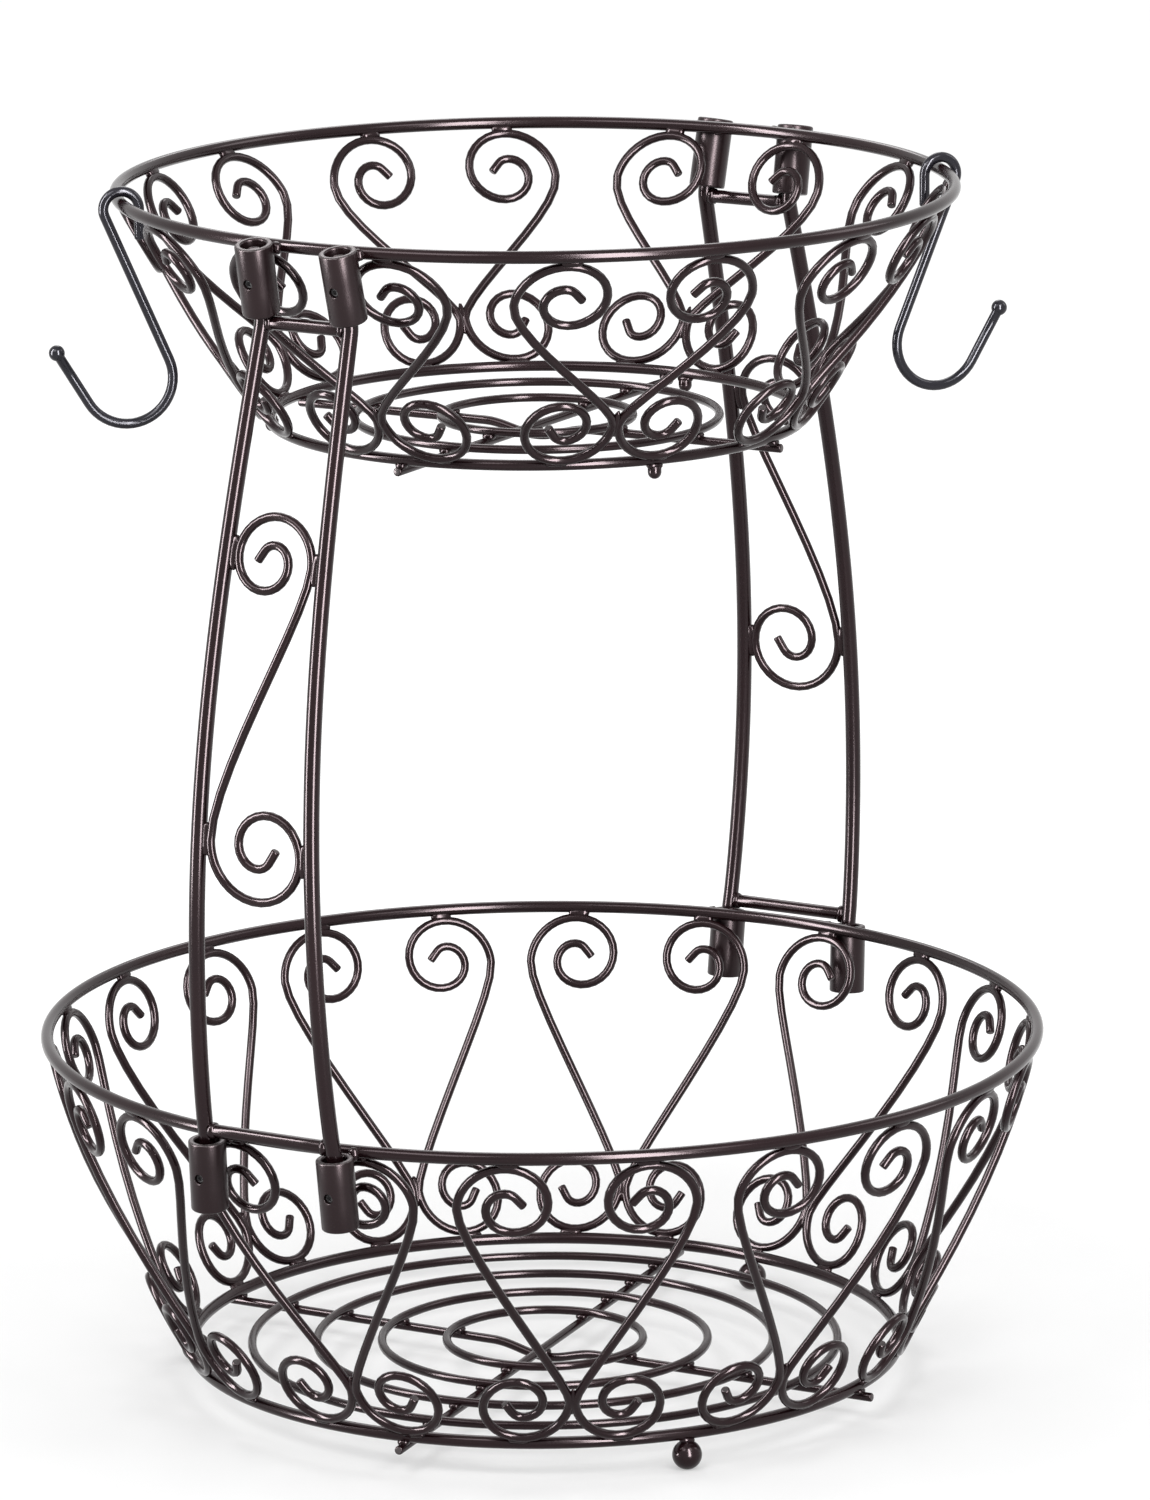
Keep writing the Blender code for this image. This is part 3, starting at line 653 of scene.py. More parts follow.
class Bowl:
    """One tier: its rings, its wall line and everything welded to them."""

    def __init__(self):
        self.wall_top_reach = self.rim_radius - self.wall_inset
        self.wall_foot_reach = self.base_radius + self.wall_outset
        self.base_height = self.rim_height - self.wall_height
        self.cross_height = self.base_height - (self.base_wire + THIN_WIRE) / 2 - GAP
        self.seam_height = self.base_height - self.base_wire / 2 - GAP / 2
        self.ring_radii = [self.base_radius]
        self.rim = (self.rim_radius, 0, RIM_WIRE)
        self.base = (self.base_radius, self.wall_height, self.base_wire)

    def foot_angle(self, number):
        """The angle of a foot or peg, counted from 0."""
        return math.radians(self.foot_start) + number * FULL_TURN / FEET

    def wall_reach(self, drop):
        """How far out the wall is at a height below the rim."""
        share = drop / self.wall_height
        reach = self.wall_top_reach + (self.wall_foot_reach - self.wall_top_reach) * share
        return reach + self.belly * math.sin(HALF_TURN * max(share, 0) ** BELLY_RISE_SHARE)

    def on_wall(self, side, drop):
        """The point a distance to the right of the front and a height below the rim, on the wall."""
        reach = self.wall_reach(drop)
        return polar(reach, side / reach, self.rim_height - drop)

    def seat(self, ring_radius, ring_drop, ring_wire, way):
        """How far below the rim a wall wire touches a ring: under it (way 1) or over it (way -1)."""
        contact = (ring_wire + THIN_WIRE) / 2 + GAP
        near = 0
        far = contact
        for _ in range(SEAT_STEPS):
            depth = (near + far) / 2
            aside = self.wall_reach(ring_drop + way * depth) - ring_radius
            if math.hypot(depth, aside) < contact:
                near = depth
            else:
                far = depth
        return ring_drop + way * far

    def ring(self, node, radius, wire, height, segments, sides):
        """One level ring of wire, which stands for a solid."""
        made = Surface()
        made.torus(radius, wire, height, segments, sides)
        made.piece(node + "_wire", [node])

    def rings(self):
        """The rim, the base ring and the floor rings."""
        name = self.name
        self.ring(name + "_rim", self.rim_radius, RIM_WIRE, self.rim_height, RIM_SEGMENTS, THICK_SIDES)
        base = (self.base_radius, self.base_wire, self.base_height)
        self.ring(name + "_base_ring", *base, RING_SEGMENTS, THICK_SIDES)
        height = self.cross_height + THIN_WIRE + GAP
        for number, ring_share in enumerate(self.floor_ring_shares, 1):
            radius = ring_share * self.base_radius
            self.ring_radii.append(radius)
            segments = max(FEWEST_SEGMENTS, round(RING_SEGMENTS * ring_share))
            self.ring(f"{name}_floor_ring_{number}", radius, THIN_WIRE, height, segments, THIN_SIDES)

    def cross_wires(self):
        """Two wires under the rings. The second dips under the first where they cross."""
        end = self.base_radius + self.base_wire / 2 + self.cross_overhang
        dip = THIN_WIRE + GAP
        spread = DIP_SPREAD * dip
        plain = [(end - spread) * step / CROSS_STEPS for step in range(1, CROSS_STEPS)]
        for number, degrees in enumerate(self.cross_angles, 1):
            angle = math.radians(degrees)
            depth = dip if number > 1 else 0
            spots = [(-end, 0)] + [(along - end, 0) for along in plain]
            for step in range(-DIP_STEPS, DIP_STEPS + 1):
                sink = depth * (1 + math.cos(HALF_TURN * step / DIP_STEPS)) / 2
                spots.append((spread * step / DIP_STEPS, sink))
            spots += [(spread + along, 0) for along in plain] + [(end, 0)]
            line = [polar(along, angle, self.cross_height - sink) for along, sink in spots]
            wire_piece(f"{self.name}_cross_wire_{number}", line, THIN_WIRE)

    def floor_welds(self):
        """A small weld at every crossing of a ring and a cross wire."""
        welds = Surface()
        for degrees in self.cross_angles:
            for turn_on in (0, HALF_TURN):
                angle = math.radians(degrees) + turn_on
                axes = level_axes(angle)
                for radius in self.ring_radii:
                    welds.bead(polar(radius, angle, self.seam_height), axes, FLOOR_WELD)
        axes = level_axes(math.radians(self.cross_angles[0]))
        spot = Vector((0, 0, self.cross_height - (THIN_WIRE + GAP) / 2))
        welds.bead(spot, axes, CROSS_WELD)
        welds.piece(self.name + "_floor_welds")

    def scroll_pairs(self):
        """The wall's pairs of mirrored scrolls, with the welds that hold them."""
        top = self.seat(*self.rim, way=1)
        bottom = self.seat(*self.base, way=-1)
        slope = math.hypot(1, (self.wall_top_reach - self.wall_foot_reach) / self.wall_height)
        near = (THIN_WIRE - PAIR_OVERLAP) / 2
        flat, split, low_start = scroll_line(
            -top * slope,
            -bottom * slope,
            near,
            near + self.scroll_reach,
            curl(UPPER_CURL_BEND, CURL_TIP_BEND, UPPER_CURL_TURN, CURL_STRAIGHT_TIP),
            curl(LOWER_CURL_BEND, CURL_TIP_BEND, LOWER_CURL_TURN, CURL_STRAIGHT_TIP),
            STEM_UPPER_HANDLE,
            STEM_LOWER_HANDLE,
        )
        one = Surface()
        one.wire([self.on_wall(point.x, -point.y / slope) for point in flat], THIN_WIRE)
        mesh = mirrored(one)
        high = max(flat[:split], key=lambda point: point.y)
        low = min(flat[split:], key=lambda point: point.y)
        high_spot = self.weld_spot(high, slope, *self.rim)
        low_spot = self.weld_spot(low, slope, *self.base)
        joint = self.on_wall(0, -low_start.y / slope)
        above = self.on_wall(0, -low_start.y / slope - THIN_WIRE)
        rim_welds = Surface()
        base_welds = Surface()
        pair_welds = Surface()
        for number in range(self.pairs):
            turn_on = math.radians(self.pair_start) + number * FULL_TURN / self.pairs
            spin = Matrix.Rotation(turn_on, 3, "Z")
            name = f"{self.name}_scroll_pair_{number + 1:02d}"
            pair = mesh.copy()
            pair.transform(spin.to_4x4())
            finish_piece(name + "_dressed", pair, [name])
            for side in (-1, 1):
                for welds, (angle, spot_reach, height, lean), weld in (
                    (rim_welds, high_spot, RIM_WELD),
                    (base_welds, low_spot, BASE_WELD),
                ):
                    spot = spin @ polar(spot_reach, side * angle, height)
                    out = spin @ polar(1, side * angle, 0)
                    across = math.cos(lean) * out - math.sin(lean) * UP
                    toward = math.sin(lean) * out + math.cos(lean) * UP
                    welds.bead(spot, (UP.cross(out), across, toward), weld)
            along = (spin @ (above - joint)).normalized()
            out = spin @ polar(1, 0, 0)
            out = (out - out.dot(along) * along).normalized()
            pair_welds.bead(spin @ joint, (along, out, along.cross(out)), PAIR_WELD)
        bpy.data.meshes.remove(mesh)
        rim_welds.piece(self.name + "_rim_welds")
        base_welds.piece(self.name + "_base_welds")
        pair_welds.piece(self.name + "_pair_welds")

    def weld_spot(self, flat_point, slope, ring_radius, ring_drop, ring_wire):
        """The angle, reach and height of a weld between a ring and its scroll, and its lean outwards."""
        drop = -flat_point.y / slope
        reach = self.wall_reach(drop)
        way = Vector((reach - ring_radius, ring_drop - drop)).normalized()
        from_ring = (ring_wire + GAP) / 2
        height = self.rim_height - ring_drop + from_ring * way.y
        return flat_point.x / reach, ring_radius + from_ring * way.x, height, math.atan2(way.x, way.y)

    def socket_reach(self):
        """How far out a socket's axis passes the rim's height, clear of the rim and of the wall below."""
        tilt = self.socket_tilt
        beside = SOCKET_OUTER / 2 + GAP
        reach = self.rim_radius + (RIM_WIRE / 2 + beside) / math.cos(tilt)
        for step in range(1, SOCKET_WALL_STEPS + 1):
            drop = (SOCKET_LENGTH - self.socket_rise) * step / SOCKET_WALL_STEPS
            wall = self.wall_reach(drop) + (THIN_WIRE / 2 + beside) / math.cos(tilt)
            reach = max(reach, wall + drop * math.tan(tilt))
        return reach

    def socket_axis(self, lean):
        """The top of the front right socket's axis and its direction upwards."""
        across = self.ladder_half_width
        forward = math.sqrt(self.socket_reach() ** 2 - across ** 2)
        up = Vector((-lean, -math.tan(self.socket_tilt), 1))
        return Vector((across, -forward, self.rim_height)) + self.socket_rise * up, up.normalized()


class LowerBowl(Bowl):
    """The wide bowl, which stands on ball feet. Angles are in degrees."""

    name = "lower"
    rim_radius = 0.1550
    base_radius = 0.1117
    wall_height = 0.1014
    belly = 0.0042
    wall_inset = 0.0010
    wall_outset = 0.0013
    base_wire = 0.0038
    floor_ring_shares = (0.828, 0.645, 0.461, 0.278)
    cross_angles = (8.5, 92.0)
    cross_overhang = 0.0025
    pairs = 11
    pair_start = 2.4
    scroll_reach = 0.0354
    foot_start = 53.9
    ladder_half_width = 0.0223
    socket_tilt = math.radians(5.5)
    socket_rise = -0.0004
    rim_height = base_wire / 2 + GAP + 2 * BALL_FOOT_RADIUS - BALL_FOOT_FLAT + wall_height


class UpperBowl(Bowl):
    """The narrow bowl, with pegs under it. Angles are in degrees."""

    name = "upper"
    rim_radius = 0.1285
    base_radius = 0.0823
    wall_height = 0.0709
    belly = 0.0015
    wall_inset = 0.0002
    wall_outset = 0.0016
    base_wire = 0.0034
    floor_ring_shares = (0.684, 0.360)
    cross_angles = (1.5, 92.0)
    cross_overhang = 0.0012
    pairs = 8
    pair_start = 0.8
    scroll_reach = 0.0361
    foot_start = 56.5
    ladder_half_width = 0.0147
    socket_tilt = math.radians(13)
    socket_rise = 0.0014
    rim_height = LowerBowl.rim_height + TIER_STEP


def mirrored(one):
    """The mesh of a wire and its mirror image, joined where they meet on X = 0."""
    mesh = one.mesh("pair")
    shape = bmesh.new()
    shape.from_mesh(mesh)
    everything = shape.verts[:] + shape.edges[:] + shape.faces[:]
    bmesh.ops.bisect_plane(
        shape, geom=everything, dist=MERGE, plane_co=(0, 0, 0), plane_no=(1, 0, 0), clear_inner=True
    )
    everything = shape.verts[:] + shape.edges[:] + shape.faces[:]
    for part in bmesh.ops.duplicate(shape, geom=everything)["geom"]:
        if isinstance(part, bmesh.types.BMVert):
            part.co.x = -part.co.x
    bmesh.ops.remove_doubles(shape, verts=shape.verts, dist=MERGE)
    bmesh.ops.recalc_face_normals(shape, faces=shape.faces)
    shape.to_mesh(mesh)
    shape.free()
    return mesh


def rounded_corner(centre_radius, centre_height, start, end):
    """Points of a quarter round in a socket's (radius, height) profile."""
    points = []
    for step in range(EDGE_STEPS + 1):
        turned_by = start + (end - start) * step / EDGE_STEPS
        radius = centre_radius + SOCKET_EDGE * math.cos(turned_by)
        points.append((radius, centre_height + SOCKET_EDGE * math.sin(turned_by)))
    return points


def ball_foot(name, bowl, number):
    """A ball under the base ring, with a small worn flat to stand on."""
    radius = BALL_FOOT_RADIUS
    centre = radius - BALL_FOOT_FLAT
    last = math.acos(-centre / radius)
    profile = []
    for step in range(BALL_FOOT_STEPS + 1):
        turned_by = last * max(step, END_GAP) / BALL_FOOT_STEPS
        profile.append((radius * math.sin(turned_by), centre + radius * math.cos(turned_by)))
    wear = [0.0] * BALL_FOOT_STEPS + [1.0]
    foot = Surface()
    place = Matrix.Translation(polar(bowl.base_radius, bowl.foot_angle(number), 0))
    foot.turned(profile, place, wear=wear)
    foot.piece(name + "_dressed", [name], sharp=FOOT_SHARP)


def peg(name, bowl, number):
    """A short round-ended pin under the base ring."""
    top = bowl.base_height - bowl.base_wire / 2 - GAP
    profile = [(PEG_RADIUS * PEG_TOP_SHARE, PEG_LENGTH), (PEG_RADIUS, PEG_LENGTH * PEG_SHOULDER_SHARE)]
    for step in range(PEG_END_STEPS + 1):
        turned_by = QUARTER_TURN * min(step, PEG_END_STEPS - END_GAP) / PEG_END_STEPS
        profile.append((PEG_RADIUS * math.cos(turned_by), PEG_RADIUS - PEG_RADIUS * math.sin(turned_by)))
    place = Matrix.Translation(polar(bowl.base_radius, bowl.foot_angle(number), top - PEG_LENGTH))
    pin = Surface()
    pin.turned(profile, place, steps=SMALL_TURNED_STEPS)
    pin.piece(name + "_dressed", [name])


def foot_welds(name, bowl):
    """The welds that hold the feet or pegs under a base ring."""
    welds = Surface()
    for number in range(FEET):
        angle = bowl.foot_angle(number)
        spot = polar(bowl.base_radius, angle, bowl.seam_height)
        welds.bead(spot, level_axes(angle), FOOT_WELD)
    welds.piece(name)


def cut_hole(mesh, cutter_mesh):
    """The mesh with the cutter taken away from it."""
    body = bpy.data.objects.new("cut_body", mesh)
    cutter = bpy.data.objects.new("cut_tool", cutter_mesh)
    for made in (body, cutter):
        scene.collection.objects.link(made)
    hole = body.modifiers.new("hole", "BOOLEAN")
    hole.object = cutter
    hole.solver = "EXACT"
    bpy.context.view_layer.update()
    evaluated = body.evaluated_get(bpy.context.evaluated_depsgraph_get())
    result = bpy.data.meshes.new_from_object(evaluated)
    for made in (body, cutter):
        bpy.data.objects.remove(made, do_unlink=True)
    return result


def socket(name, top, up, turn):
    """A short tube with rounded rims, and a countersunk screw hole in its outward face."""
    outer = SOCKET_OUTER / 2
    bore = SOCKET_BORE / 2
    low = SOCKET_EDGE - SOCKET_LENGTH
    middle = -SOCKET_LENGTH / 2
    profile = rounded_corner(outer - SOCKET_EDGE, -SOCKET_EDGE, QUARTER_TURN, 0)
    profile += [(outer, middle + SCREW_HOLE), (outer, middle - SCREW_HOLE)]
    profile += rounded_corner(outer - SOCKET_EDGE, low, 0, -QUARTER_TURN)
    profile += rounded_corner(bore + SOCKET_EDGE, low, -QUARTER_TURN, -HALF_TURN)
    profile += rounded_corner(bore + SOCKET_EDGE, -SOCKET_EDGE, HALF_TURN, QUARTER_TURN)
    wear = [0.0] * len(profile)
    for worn in (0, 1, 2, -1):
        wear[worn] = SOCKET_RIM_WEAR
    forward = Vector((0, -1, 0))
    forward = (forward - forward.dot(up) * up).normalized()
    axes = Matrix((forward.cross(up), forward, up)).transposed().to_4x4()
    place = turn @ Matrix.Translation(top) @ axes
    tube = Surface()
    tube.turned(profile, Matrix.Identity(4), closed=True, wear=wear)
    mesh = tube.mesh(name)

    hole = SCREW_HOLE / 2
    sink = COUNTERSINK
    out = Matrix.Translation((0, 0, middle)) @ Matrix.Rotation(-QUARTER_TURN, 4, "X")
    cutter = Surface()
    cutter_profile = [(hole + 2 * sink, outer + sink), (hole, outer - sink), (hole, bore - 2 * sink)]
    cutter.turned(cutter_profile, out, steps=SMALL_TURNED_STEPS)
    tool = cutter.mesh(name + "_tool")
    face_outwards(mesh)
    face_outwards(tool)
    mesh = cut_hole(mesh, tool)
    mesh.transform(place)
    finish_piece(name + "_dressed", mesh, [name], coat=socket_bronze, sharp=SOCKET_SHARP)
    grub_screw(name.replace("socket", "grub_screw"), place @ out, outer, bore)


def grub_screw(name, place, outer, bore):
    """A small headless screw sunk in a socket's wall, with a hexagon recess."""
    radius = SCREW_HOLE / 2 - SCREW_CLEARANCE
    face = outer - SCREW_DEPTH
    sixth = FULL_TURN / 6
    turns = [FULL_TURN * step / SMALL_TURNED_STEPS % sixth for step in range(SMALL_TURNED_STEPS)]
    hexagon = [HEXAGON_RADIUS / math.cos(turned_by - sixth / 2) for turned_by in turns]
    rings = []
    for sizes, height in (
        ([radius] * len(turns), bore - SCREW_OVERHANG),
        ([radius] * len(turns), face - SCREW_EDGE),
        ([radius - SCREW_EDGE] * len(turns), face),
        (hexagon, face),
        (hexagon, face - HEXAGON_DEPTH),
        ([HEXAGON_END] * len(turns), face - HEXAGON_DEPTH - HEXAGON_END),
    ):
        sides = zip(sizes, circle(SMALL_TURNED_STEPS))
        rings.append([place @ Vector((size * out, size * on, height)) for size, (out, on) in sides])
    screw = Surface()
    screw.loft(rings)
    screw.piece(name, coat=screw_steel, sharp=SCREW_SHARP)


def with_round_bends(line):
    """A post's line, bent round instead of kinked where it leaves its sockets."""
    points = []
    for index, point in enumerate(line):
        if index not in (1, len(line) - 2):
            points.append(point)
            continue
        before = point + (line[index - 1] - point).normalized() * POST_BEND_REACH
        after = point + (line[index + 1] - point).normalized() * POST_BEND_REACH
        for step in range(BEND_STEPS + 1):
            share = step / BEND_STEPS
            rest = 1 - share
            points.append(rest ** 2 * before + 2 * share * rest * point + share ** 2 * after)
    return points


class Ladder:
    """The line that both ladders follow, worked out for the front one between its sockets."""

    def __init__(self, lower, upper):
        self.lower = lower
        self.upper = upper
        self.rise = upper.rim_height - lower.rim_height
        lean = (lower.ladder_half_width - upper.ladder_half_width) / self.rise
        self.low_top, self.low_up = lower.socket_axis(lean)
        self.high_top, self.high_up = upper.socket_axis(lean)
        self.bend = self.high_top - (SOCKET_LENGTH + POST_BEND_BELOW) * self.high_up

    def point(self, height):
        """The right post's centre at a height, between the lower socket's top and the upper bend."""
        share = (height - self.low_top.z) / (self.bend.z - self.low_top.z)
        spot = self.low_top.lerp(self.bend, share)
        if share > 0:
            spot.y -= LADDER_BOW * math.sin(HALF_TURN * share ** LADDER_BOW_SHARE)
        return spot

    def twisted(self, point):
        """A point moved round the Z axis, because the lower sockets sit a little round from the upper."""
        share = (self.upper.rim_height - point.z) / self.rise
        return Matrix.Rotation(LADDER_TWIST * share, 3, "Z") @ point

    def post_line(self, side):
        """A post from inside the lower socket, up the bow, and round the bend into the upper socket."""
        line = [self.low_top - (SOCKET_LENGTH - POST_SET_BACK) * self.low_up]
        for step in range(POST_STEPS):
            line.append(self.point(self.low_top.z + (self.bend.z - self.low_top.z) * step / POST_STEPS))
        line.append(self.bend)
        line.append(self.high_top - POST_SET_BACK * self.high_up)
        line = with_round_bends(line)
        return [self.twisted(Vector((side * point.x, point.y, point.z))) for point in line]

    def half_gap(self, height):
        """Half the clear width between the posts at a height."""
        return self.point(height).x - POST_WIRE / 2 - GAP

    def crossbar_line(self, height):
        """A level bar between the posts."""
        half = self.half_gap(height)
        forward = self.point(height).y
        return [self.twisted(Vector((share * half, forward, height))) for share in CROSSBAR_SHARES]

    def scroll_points(self):
        """The ladder's scroll, and the spots where its curls touch the posts."""
        top = self.lower.rim_height + LADDER_SCROLL_TOP
        bottom = self.lower.rim_height + LADDER_SCROLL_BOTTOM
        unit = curl(1, LADDER_CURL_TIP_SHARE, LADDER_CURL_TURN, LADDER_STRAIGHT_TIP_SHARE)
        width = max(point.x for point in unit)
        high_bend = (2 * self.half_gap(top) - THIN_WIRE) / width
        low_bend = (2 * self.half_gap(bottom + high_bend) - THIN_WIRE) / width
        flat, split, _ = scroll_line(
            top,
            bottom,
            THIN_WIRE / 2 - self.half_gap(bottom + low_bend),
            self.half_gap(top) - THIN_WIRE / 2,
            [high_bend * point for point in unit],
            [low_bend * point for point in unit],
            high_bend,
            low_bend,
        )
        touches = []
        for group in (flat[:split + 1], flat[split + STEM_STEPS - 2:]):
            for side in (-1, 1):
                spot = max(group, key=lambda point: side * point.x)
                across = side * (self.half_gap(spot.y) + abs(spot.x) + THIN_WIRE / 2) / 2
                touches.append(self.twisted(Vector((across, self.point(spot.y).y, spot.y))))
        points = [self.twisted(Vector((point.x, self.point(point.y).y, point.y))) for point in flat]
        return points, touches


def make_ladder(name, ladder, turn):
    """Two posts, two crossbars and a scroll, turned to the front or the back, with their welds."""
    for side, word in ((-1, "left"), (1, "right")):
        line = [turn @ point for point in ladder.post_line(side)]
        wire_piece(f"{name}_ladder_{word}_post", line, POST_WIRE, THICK_SIDES)
    low = ladder.lower.rim_height + LOW_CROSSBAR_HEIGHT
    high = ladder.bend.z - CROSSBAR_BELOW_SOCKET + POST_BEND_BELOW
    welds = Surface()
    for word, height in (("low", low), ("high", high)):
        line = [turn @ point for point in ladder.crossbar_line(height)]
        wire_piece(f"{name}_ladder_{word}_crossbar", line, CROSSBAR_WIRE, THICK_SIDES)
        for end, inner in ((line[0], line[1]), (line[-1], line[-2])):
            along = (end - inner).normalized()
            welds.bead(end, (along, along.cross(UP), UP), CROSSBAR_WELD)
    points, touches = ladder.scroll_points()
    wire_piece(f"{name}_ladder_scroll", [turn @ point for point in points], THIN_WIRE)
    across = turn @ Vector((1, 0, 0))
    for touch in touches:
        above = ladder.point(touch.z + THIN_WIRE)
        here = ladder.point(touch.z)
        up = turn @ Vector((0, above.y - here.y, above.z - here.z)).normalized()
        welds.bead(turn @ touch, (up, across, up.cross(across)), LADDER_SCROLL_WELD)
    welds.piece(name + "_ladder_welds")


def make_sockets(name, ladder, turn):
    """The four sockets of one ladder: two on each rim, and the welds on both sides of each."""
    welds = Surface()
    for side, word in ((-1, "left"), (1, "right")):
        for tier, bowl, top, up in (
            ("lower", ladder.lower, ladder.low_top, ladder.low_up),
            ("upper", ladder.upper, ladder.high_top, ladder.high_up),
        ):
            centre = Vector((side * top.x, top.y, top.z))
            along = Vector((side * up.x, up.y, up.z))
            round_axis = (ladder.upper.rim_height - top.z) / ladder.rise * LADDER_TWIST
            twist = turn @ Matrix.Rotation(round_axis, 4, "Z")
            socket(f"{tier}_socket_{name}_{word}", centre, along, twist)
            angle = math.atan2(centre.x, -centre.y)
            reach = bowl.rim_radius + RIM_WIRE / 2 + SOCKET_WELD_OUT
            for way in (-1, 1):
                spot_angle = angle + way * SOCKET_WELD_ASIDE / bowl.rim_radius
                spot = polar(reach, spot_angle, bowl.rim_height - SOCKET_WELD_DROP)
                axes = [twist.to_3x3() @ axis for axis in level_axes(spot_angle)]
                welds.bead(twist @ spot, axes, SOCKET_WELD, SOCKET_WELD_LUMPS)
    welds.piece(name + "_socket_welds")


def hook_line():
    """A hook seen flat, as (outwards, up) points from the rim wire's centre, and each point's swell."""
    centre = Vector((0, RIM_WIRE / 2 + GAP + HOOK_WIRE / 2 - HOOK_ARCH_RADIUS))
    points = [centre + Vector((-HOOK_ARCH_RADIUS, -share * HOOK_INNER_LEG)) for share in (1, 0.5)]
    for step in range(HOOK_BEND_STEPS + 1):
        turned_by = (HALF_TURN + HOOK_LEG_LEAN) * step / HOOK_BEND_STEPS
        points.append(centre + HOOK_ARCH_RADIUS * Vector((-math.cos(turned_by), math.sin(turned_by))))
    down = Vector((-math.sin(HOOK_LEG_LEAN), -math.cos(HOOK_LEG_LEAN)))
    arch_end = points[-1]
    for share in (0.05, 0.5, 0.95):
        points.append(arch_end + share * HOOK_LEG * down)
    leg_end = arch_end + HOOK_LEG * down
    centre = leg_end + HOOK_CRADLE_RADIUS * Vector((-down.y, down.x))
    for step in range(HOOK_BEND_STEPS + 1):
        turned_by = (HALF_TURN + HOOK_LEG_LEAN - HOOK_TIP_LEAN) * step / HOOK_BEND_STEPS - HOOK_LEG_LEAN
        points.append(centre + HOOK_CRADLE_RADIUS * Vector((-math.cos(turned_by), -math.sin(turned_by))))
    out = Vector((math.sin(HOOK_TIP_LEAN), math.cos(HOOK_TIP_LEAN)))
    ball = points[-1] + HOOK_TIP * out
    points.append(points[-1] + 0.5 * HOOK_TIP * out)
    swell = [1] * len(points)
    first = math.asin(HOOK_WIRE / 2 / HOOK_BALL_RADIUS)
    last = HALF_TURN - first * BALL_END_SHARE
    for step in range(HOOK_BALL_STEPS + 1):
        turned_by = first + (last - first) * step / HOOK_BALL_STEPS
        points.append(ball - HOOK_BALL_RADIUS * math.cos(turned_by) * out)
        swell.append(2 * HOOK_BALL_RADIUS * math.sin(turned_by) / HOOK_WIRE)
    return points, swell


def make_hook(name, bowl, angle, twist):
    """A loose hook with a ball tip, hung over the rim."""
    points, swell = hook_line()
    place = Matrix.Translation(polar(bowl.rim_radius, angle, bowl.rim_height))
    place = place @ Matrix.Rotation(angle + twist - QUARTER_TURN, 4, "Z")
    line = [place @ Vector((point.x, 0, point.y)) for point in points]
    hook = Surface()
    hook.wire(line, HOOK_WIRE, HOOK_SIDES, swell=swell, rounded=(True, False))
    hook.piece(name + "_dressed", [name], coat=hook_black, body=name, slot="hook_coat")


lower_bowl = LowerBowl()
upper_bowl = UpperBowl()
for bowl in (lower_bowl, upper_bowl):
    bowl.rings()
    bowl.cross_wires()
    bowl.floor_welds()
    bowl.scroll_pairs()

for foot_number in range(FEET):
    ball_foot(f"lower_ball_foot_{foot_number + 1}", lower_bowl, foot_number)
    peg(f"upper_peg_{foot_number + 1}", upper_bowl, foot_number)
foot_welds("lower_foot_welds", lower_bowl)
foot_welds("upper_peg_welds", upper_bowl)

ladder_line = Ladder(lower_bowl, upper_bowl)
for ladder_name, ladder_turn in (("front", 0), ("back", HALF_TURN)):
    turn_matrix = Matrix.Rotation(ladder_turn, 4, "Z")
    make_sockets(ladder_name, ladder_line, turn_matrix)
    make_ladder(ladder_name, ladder_line, turn_matrix)

for hook_number, (hook_angle, hook_twist) in enumerate(HOOKS, 1):
    make_hook(f"hook_{hook_number}", upper_bowl, math.radians(hook_angle), math.radians(hook_twist))

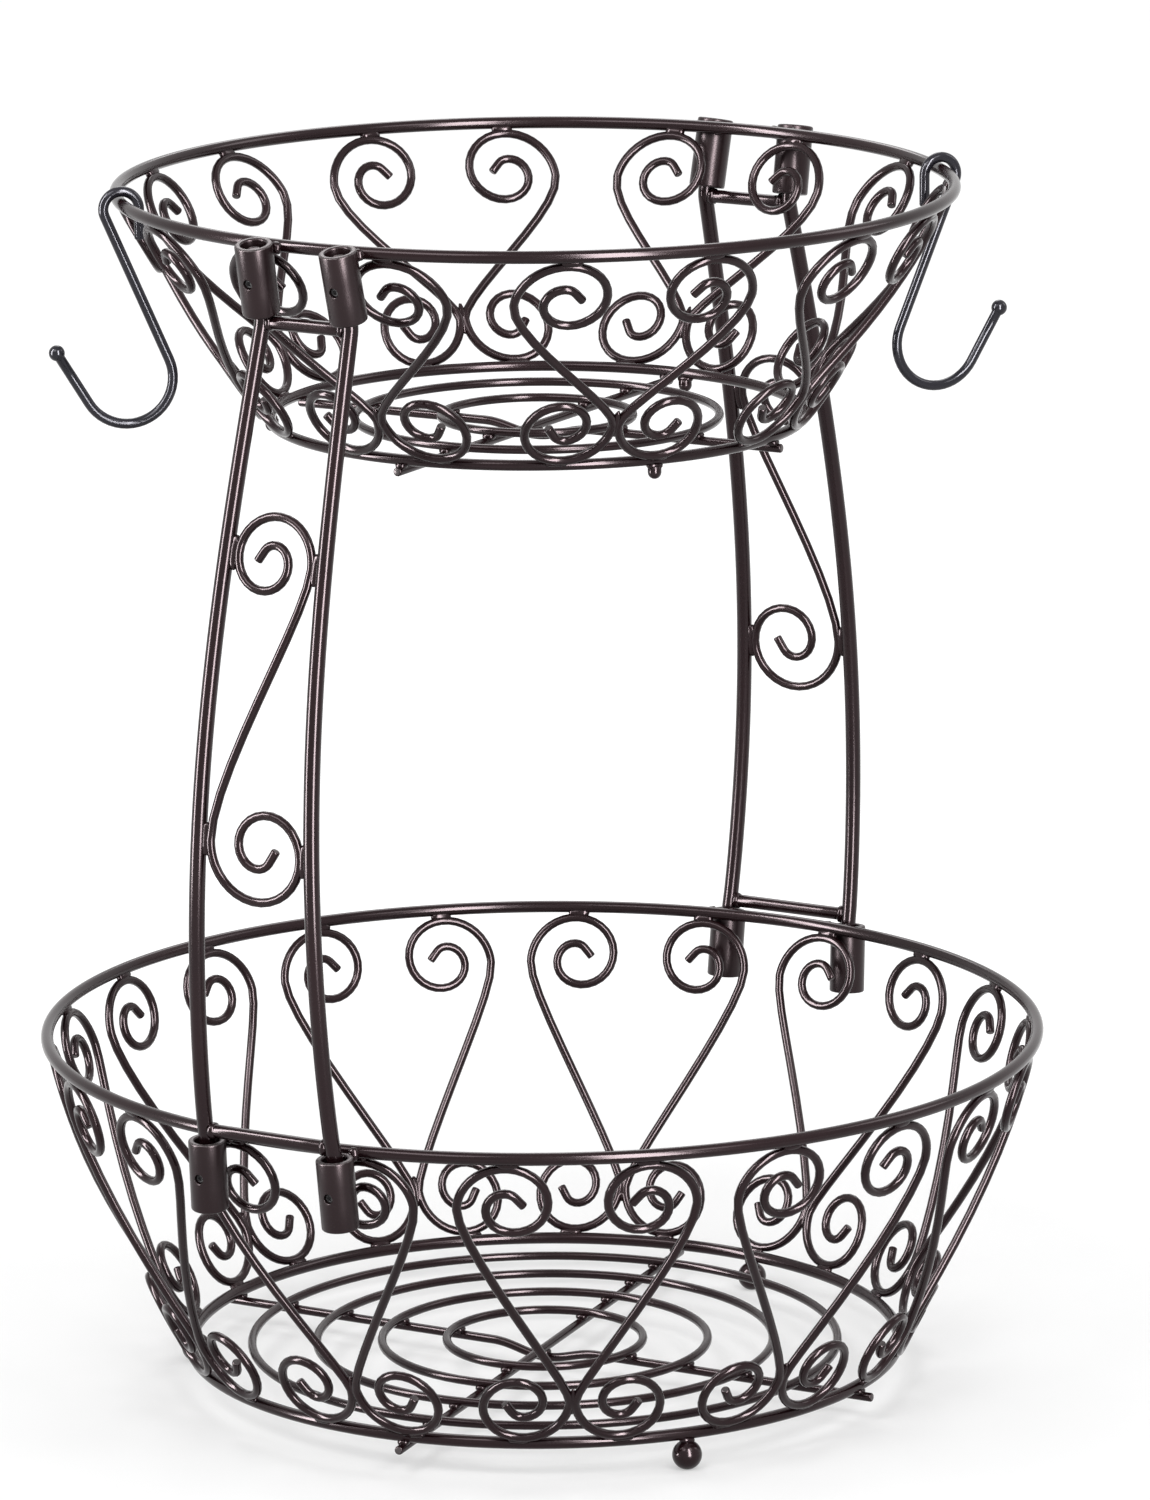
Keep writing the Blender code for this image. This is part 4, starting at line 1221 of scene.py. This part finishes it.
# The floor
floor_mesh = bpy.data.meshes.new("studio_floor")
corners = [(FLOOR_HALF * x, FLOOR_HALF * y, 0) for x, y in ((-1, -1), (1, -1), (1, 1), (-1, 1))]
floor_mesh.from_pydata(corners, [], [(0, 1, 2, 3)])
floor = bpy.data.objects.new("studio_floor", floor_mesh)
floor.data.materials.append(studio_floor("white_floor"))
scene.collection.objects.link(floor)

# The camera
camera_data = bpy.data.cameras.new("camera")
camera = bpy.data.objects.new("camera", camera_data)
scene.collection.objects.link(camera)
scene.camera = camera
forward = -polar(math.cos(VIEW_DIP), VIEW_ANGLE, math.sin(VIEW_DIP))
camera.rotation_mode = "QUATERNION"
camera.location = (1.3687, -2.2567, 0.8076)
camera.rotation_quaternion = forward.to_track_quat("-Z", "Y") @ Quaternion((0, 0, 1), CAMERA_ROLL)
camera_data.lens = 208.84
camera_data.sensor_width = 36
camera_data.clip_start = 0.1
camera_data.clip_end = 100


def soft_lamp(name, degrees, degrees_up, distance, width, height, power):
    """A soft box that looks at the basket from an angle round it and above it."""
    data = bpy.data.lights.new(name, "AREA")
    data.shape = "RECTANGLE"
    data.size = width
    data.size_y = height
    data.energy = power
    lamp = bpy.data.objects.new(name, data)
    height_angle = math.radians(degrees_up)
    out = polar(math.cos(height_angle), math.radians(degrees), math.sin(height_angle))
    lamp.location = distance * out + LAMP_AIM
    lamp.rotation_mode = "QUATERNION"
    lamp.rotation_quaternion = (-out).to_track_quat("-Z", "Y")
    scene.collection.objects.link(lamp)
    return lamp


for box_name, box_values in SOFT_BOXES.items():
    soft_lamp(box_name, *box_values)

# The tall boxes stand on the floor. They show in the coat as streaks and light nothing else
for box_name, box_values in TALL_BOXES.items():
    tall_box = soft_lamp(box_name, *box_values)
    tall_box.location.z = tall_box.data.size_y / 2
    tall_box.visible_diffuse = False

# The room: white for the camera and in reflections, and a plain level for its light on the basket
world = bpy.data.worlds.new("room")
scene.world = world
world.use_nodes = True
room = world.node_tree
shown = shown_rays(room)
level = shown + (1 - shown) * ROOM_LIGHT
background = room.nodes["Background"]
background.inputs["Color"].default_value = (1.0, 1.0, 1.0, 1.0)
room.links.new(level.socket, background.inputs["Strength"])

scene.view_settings.view_transform = "Standard"
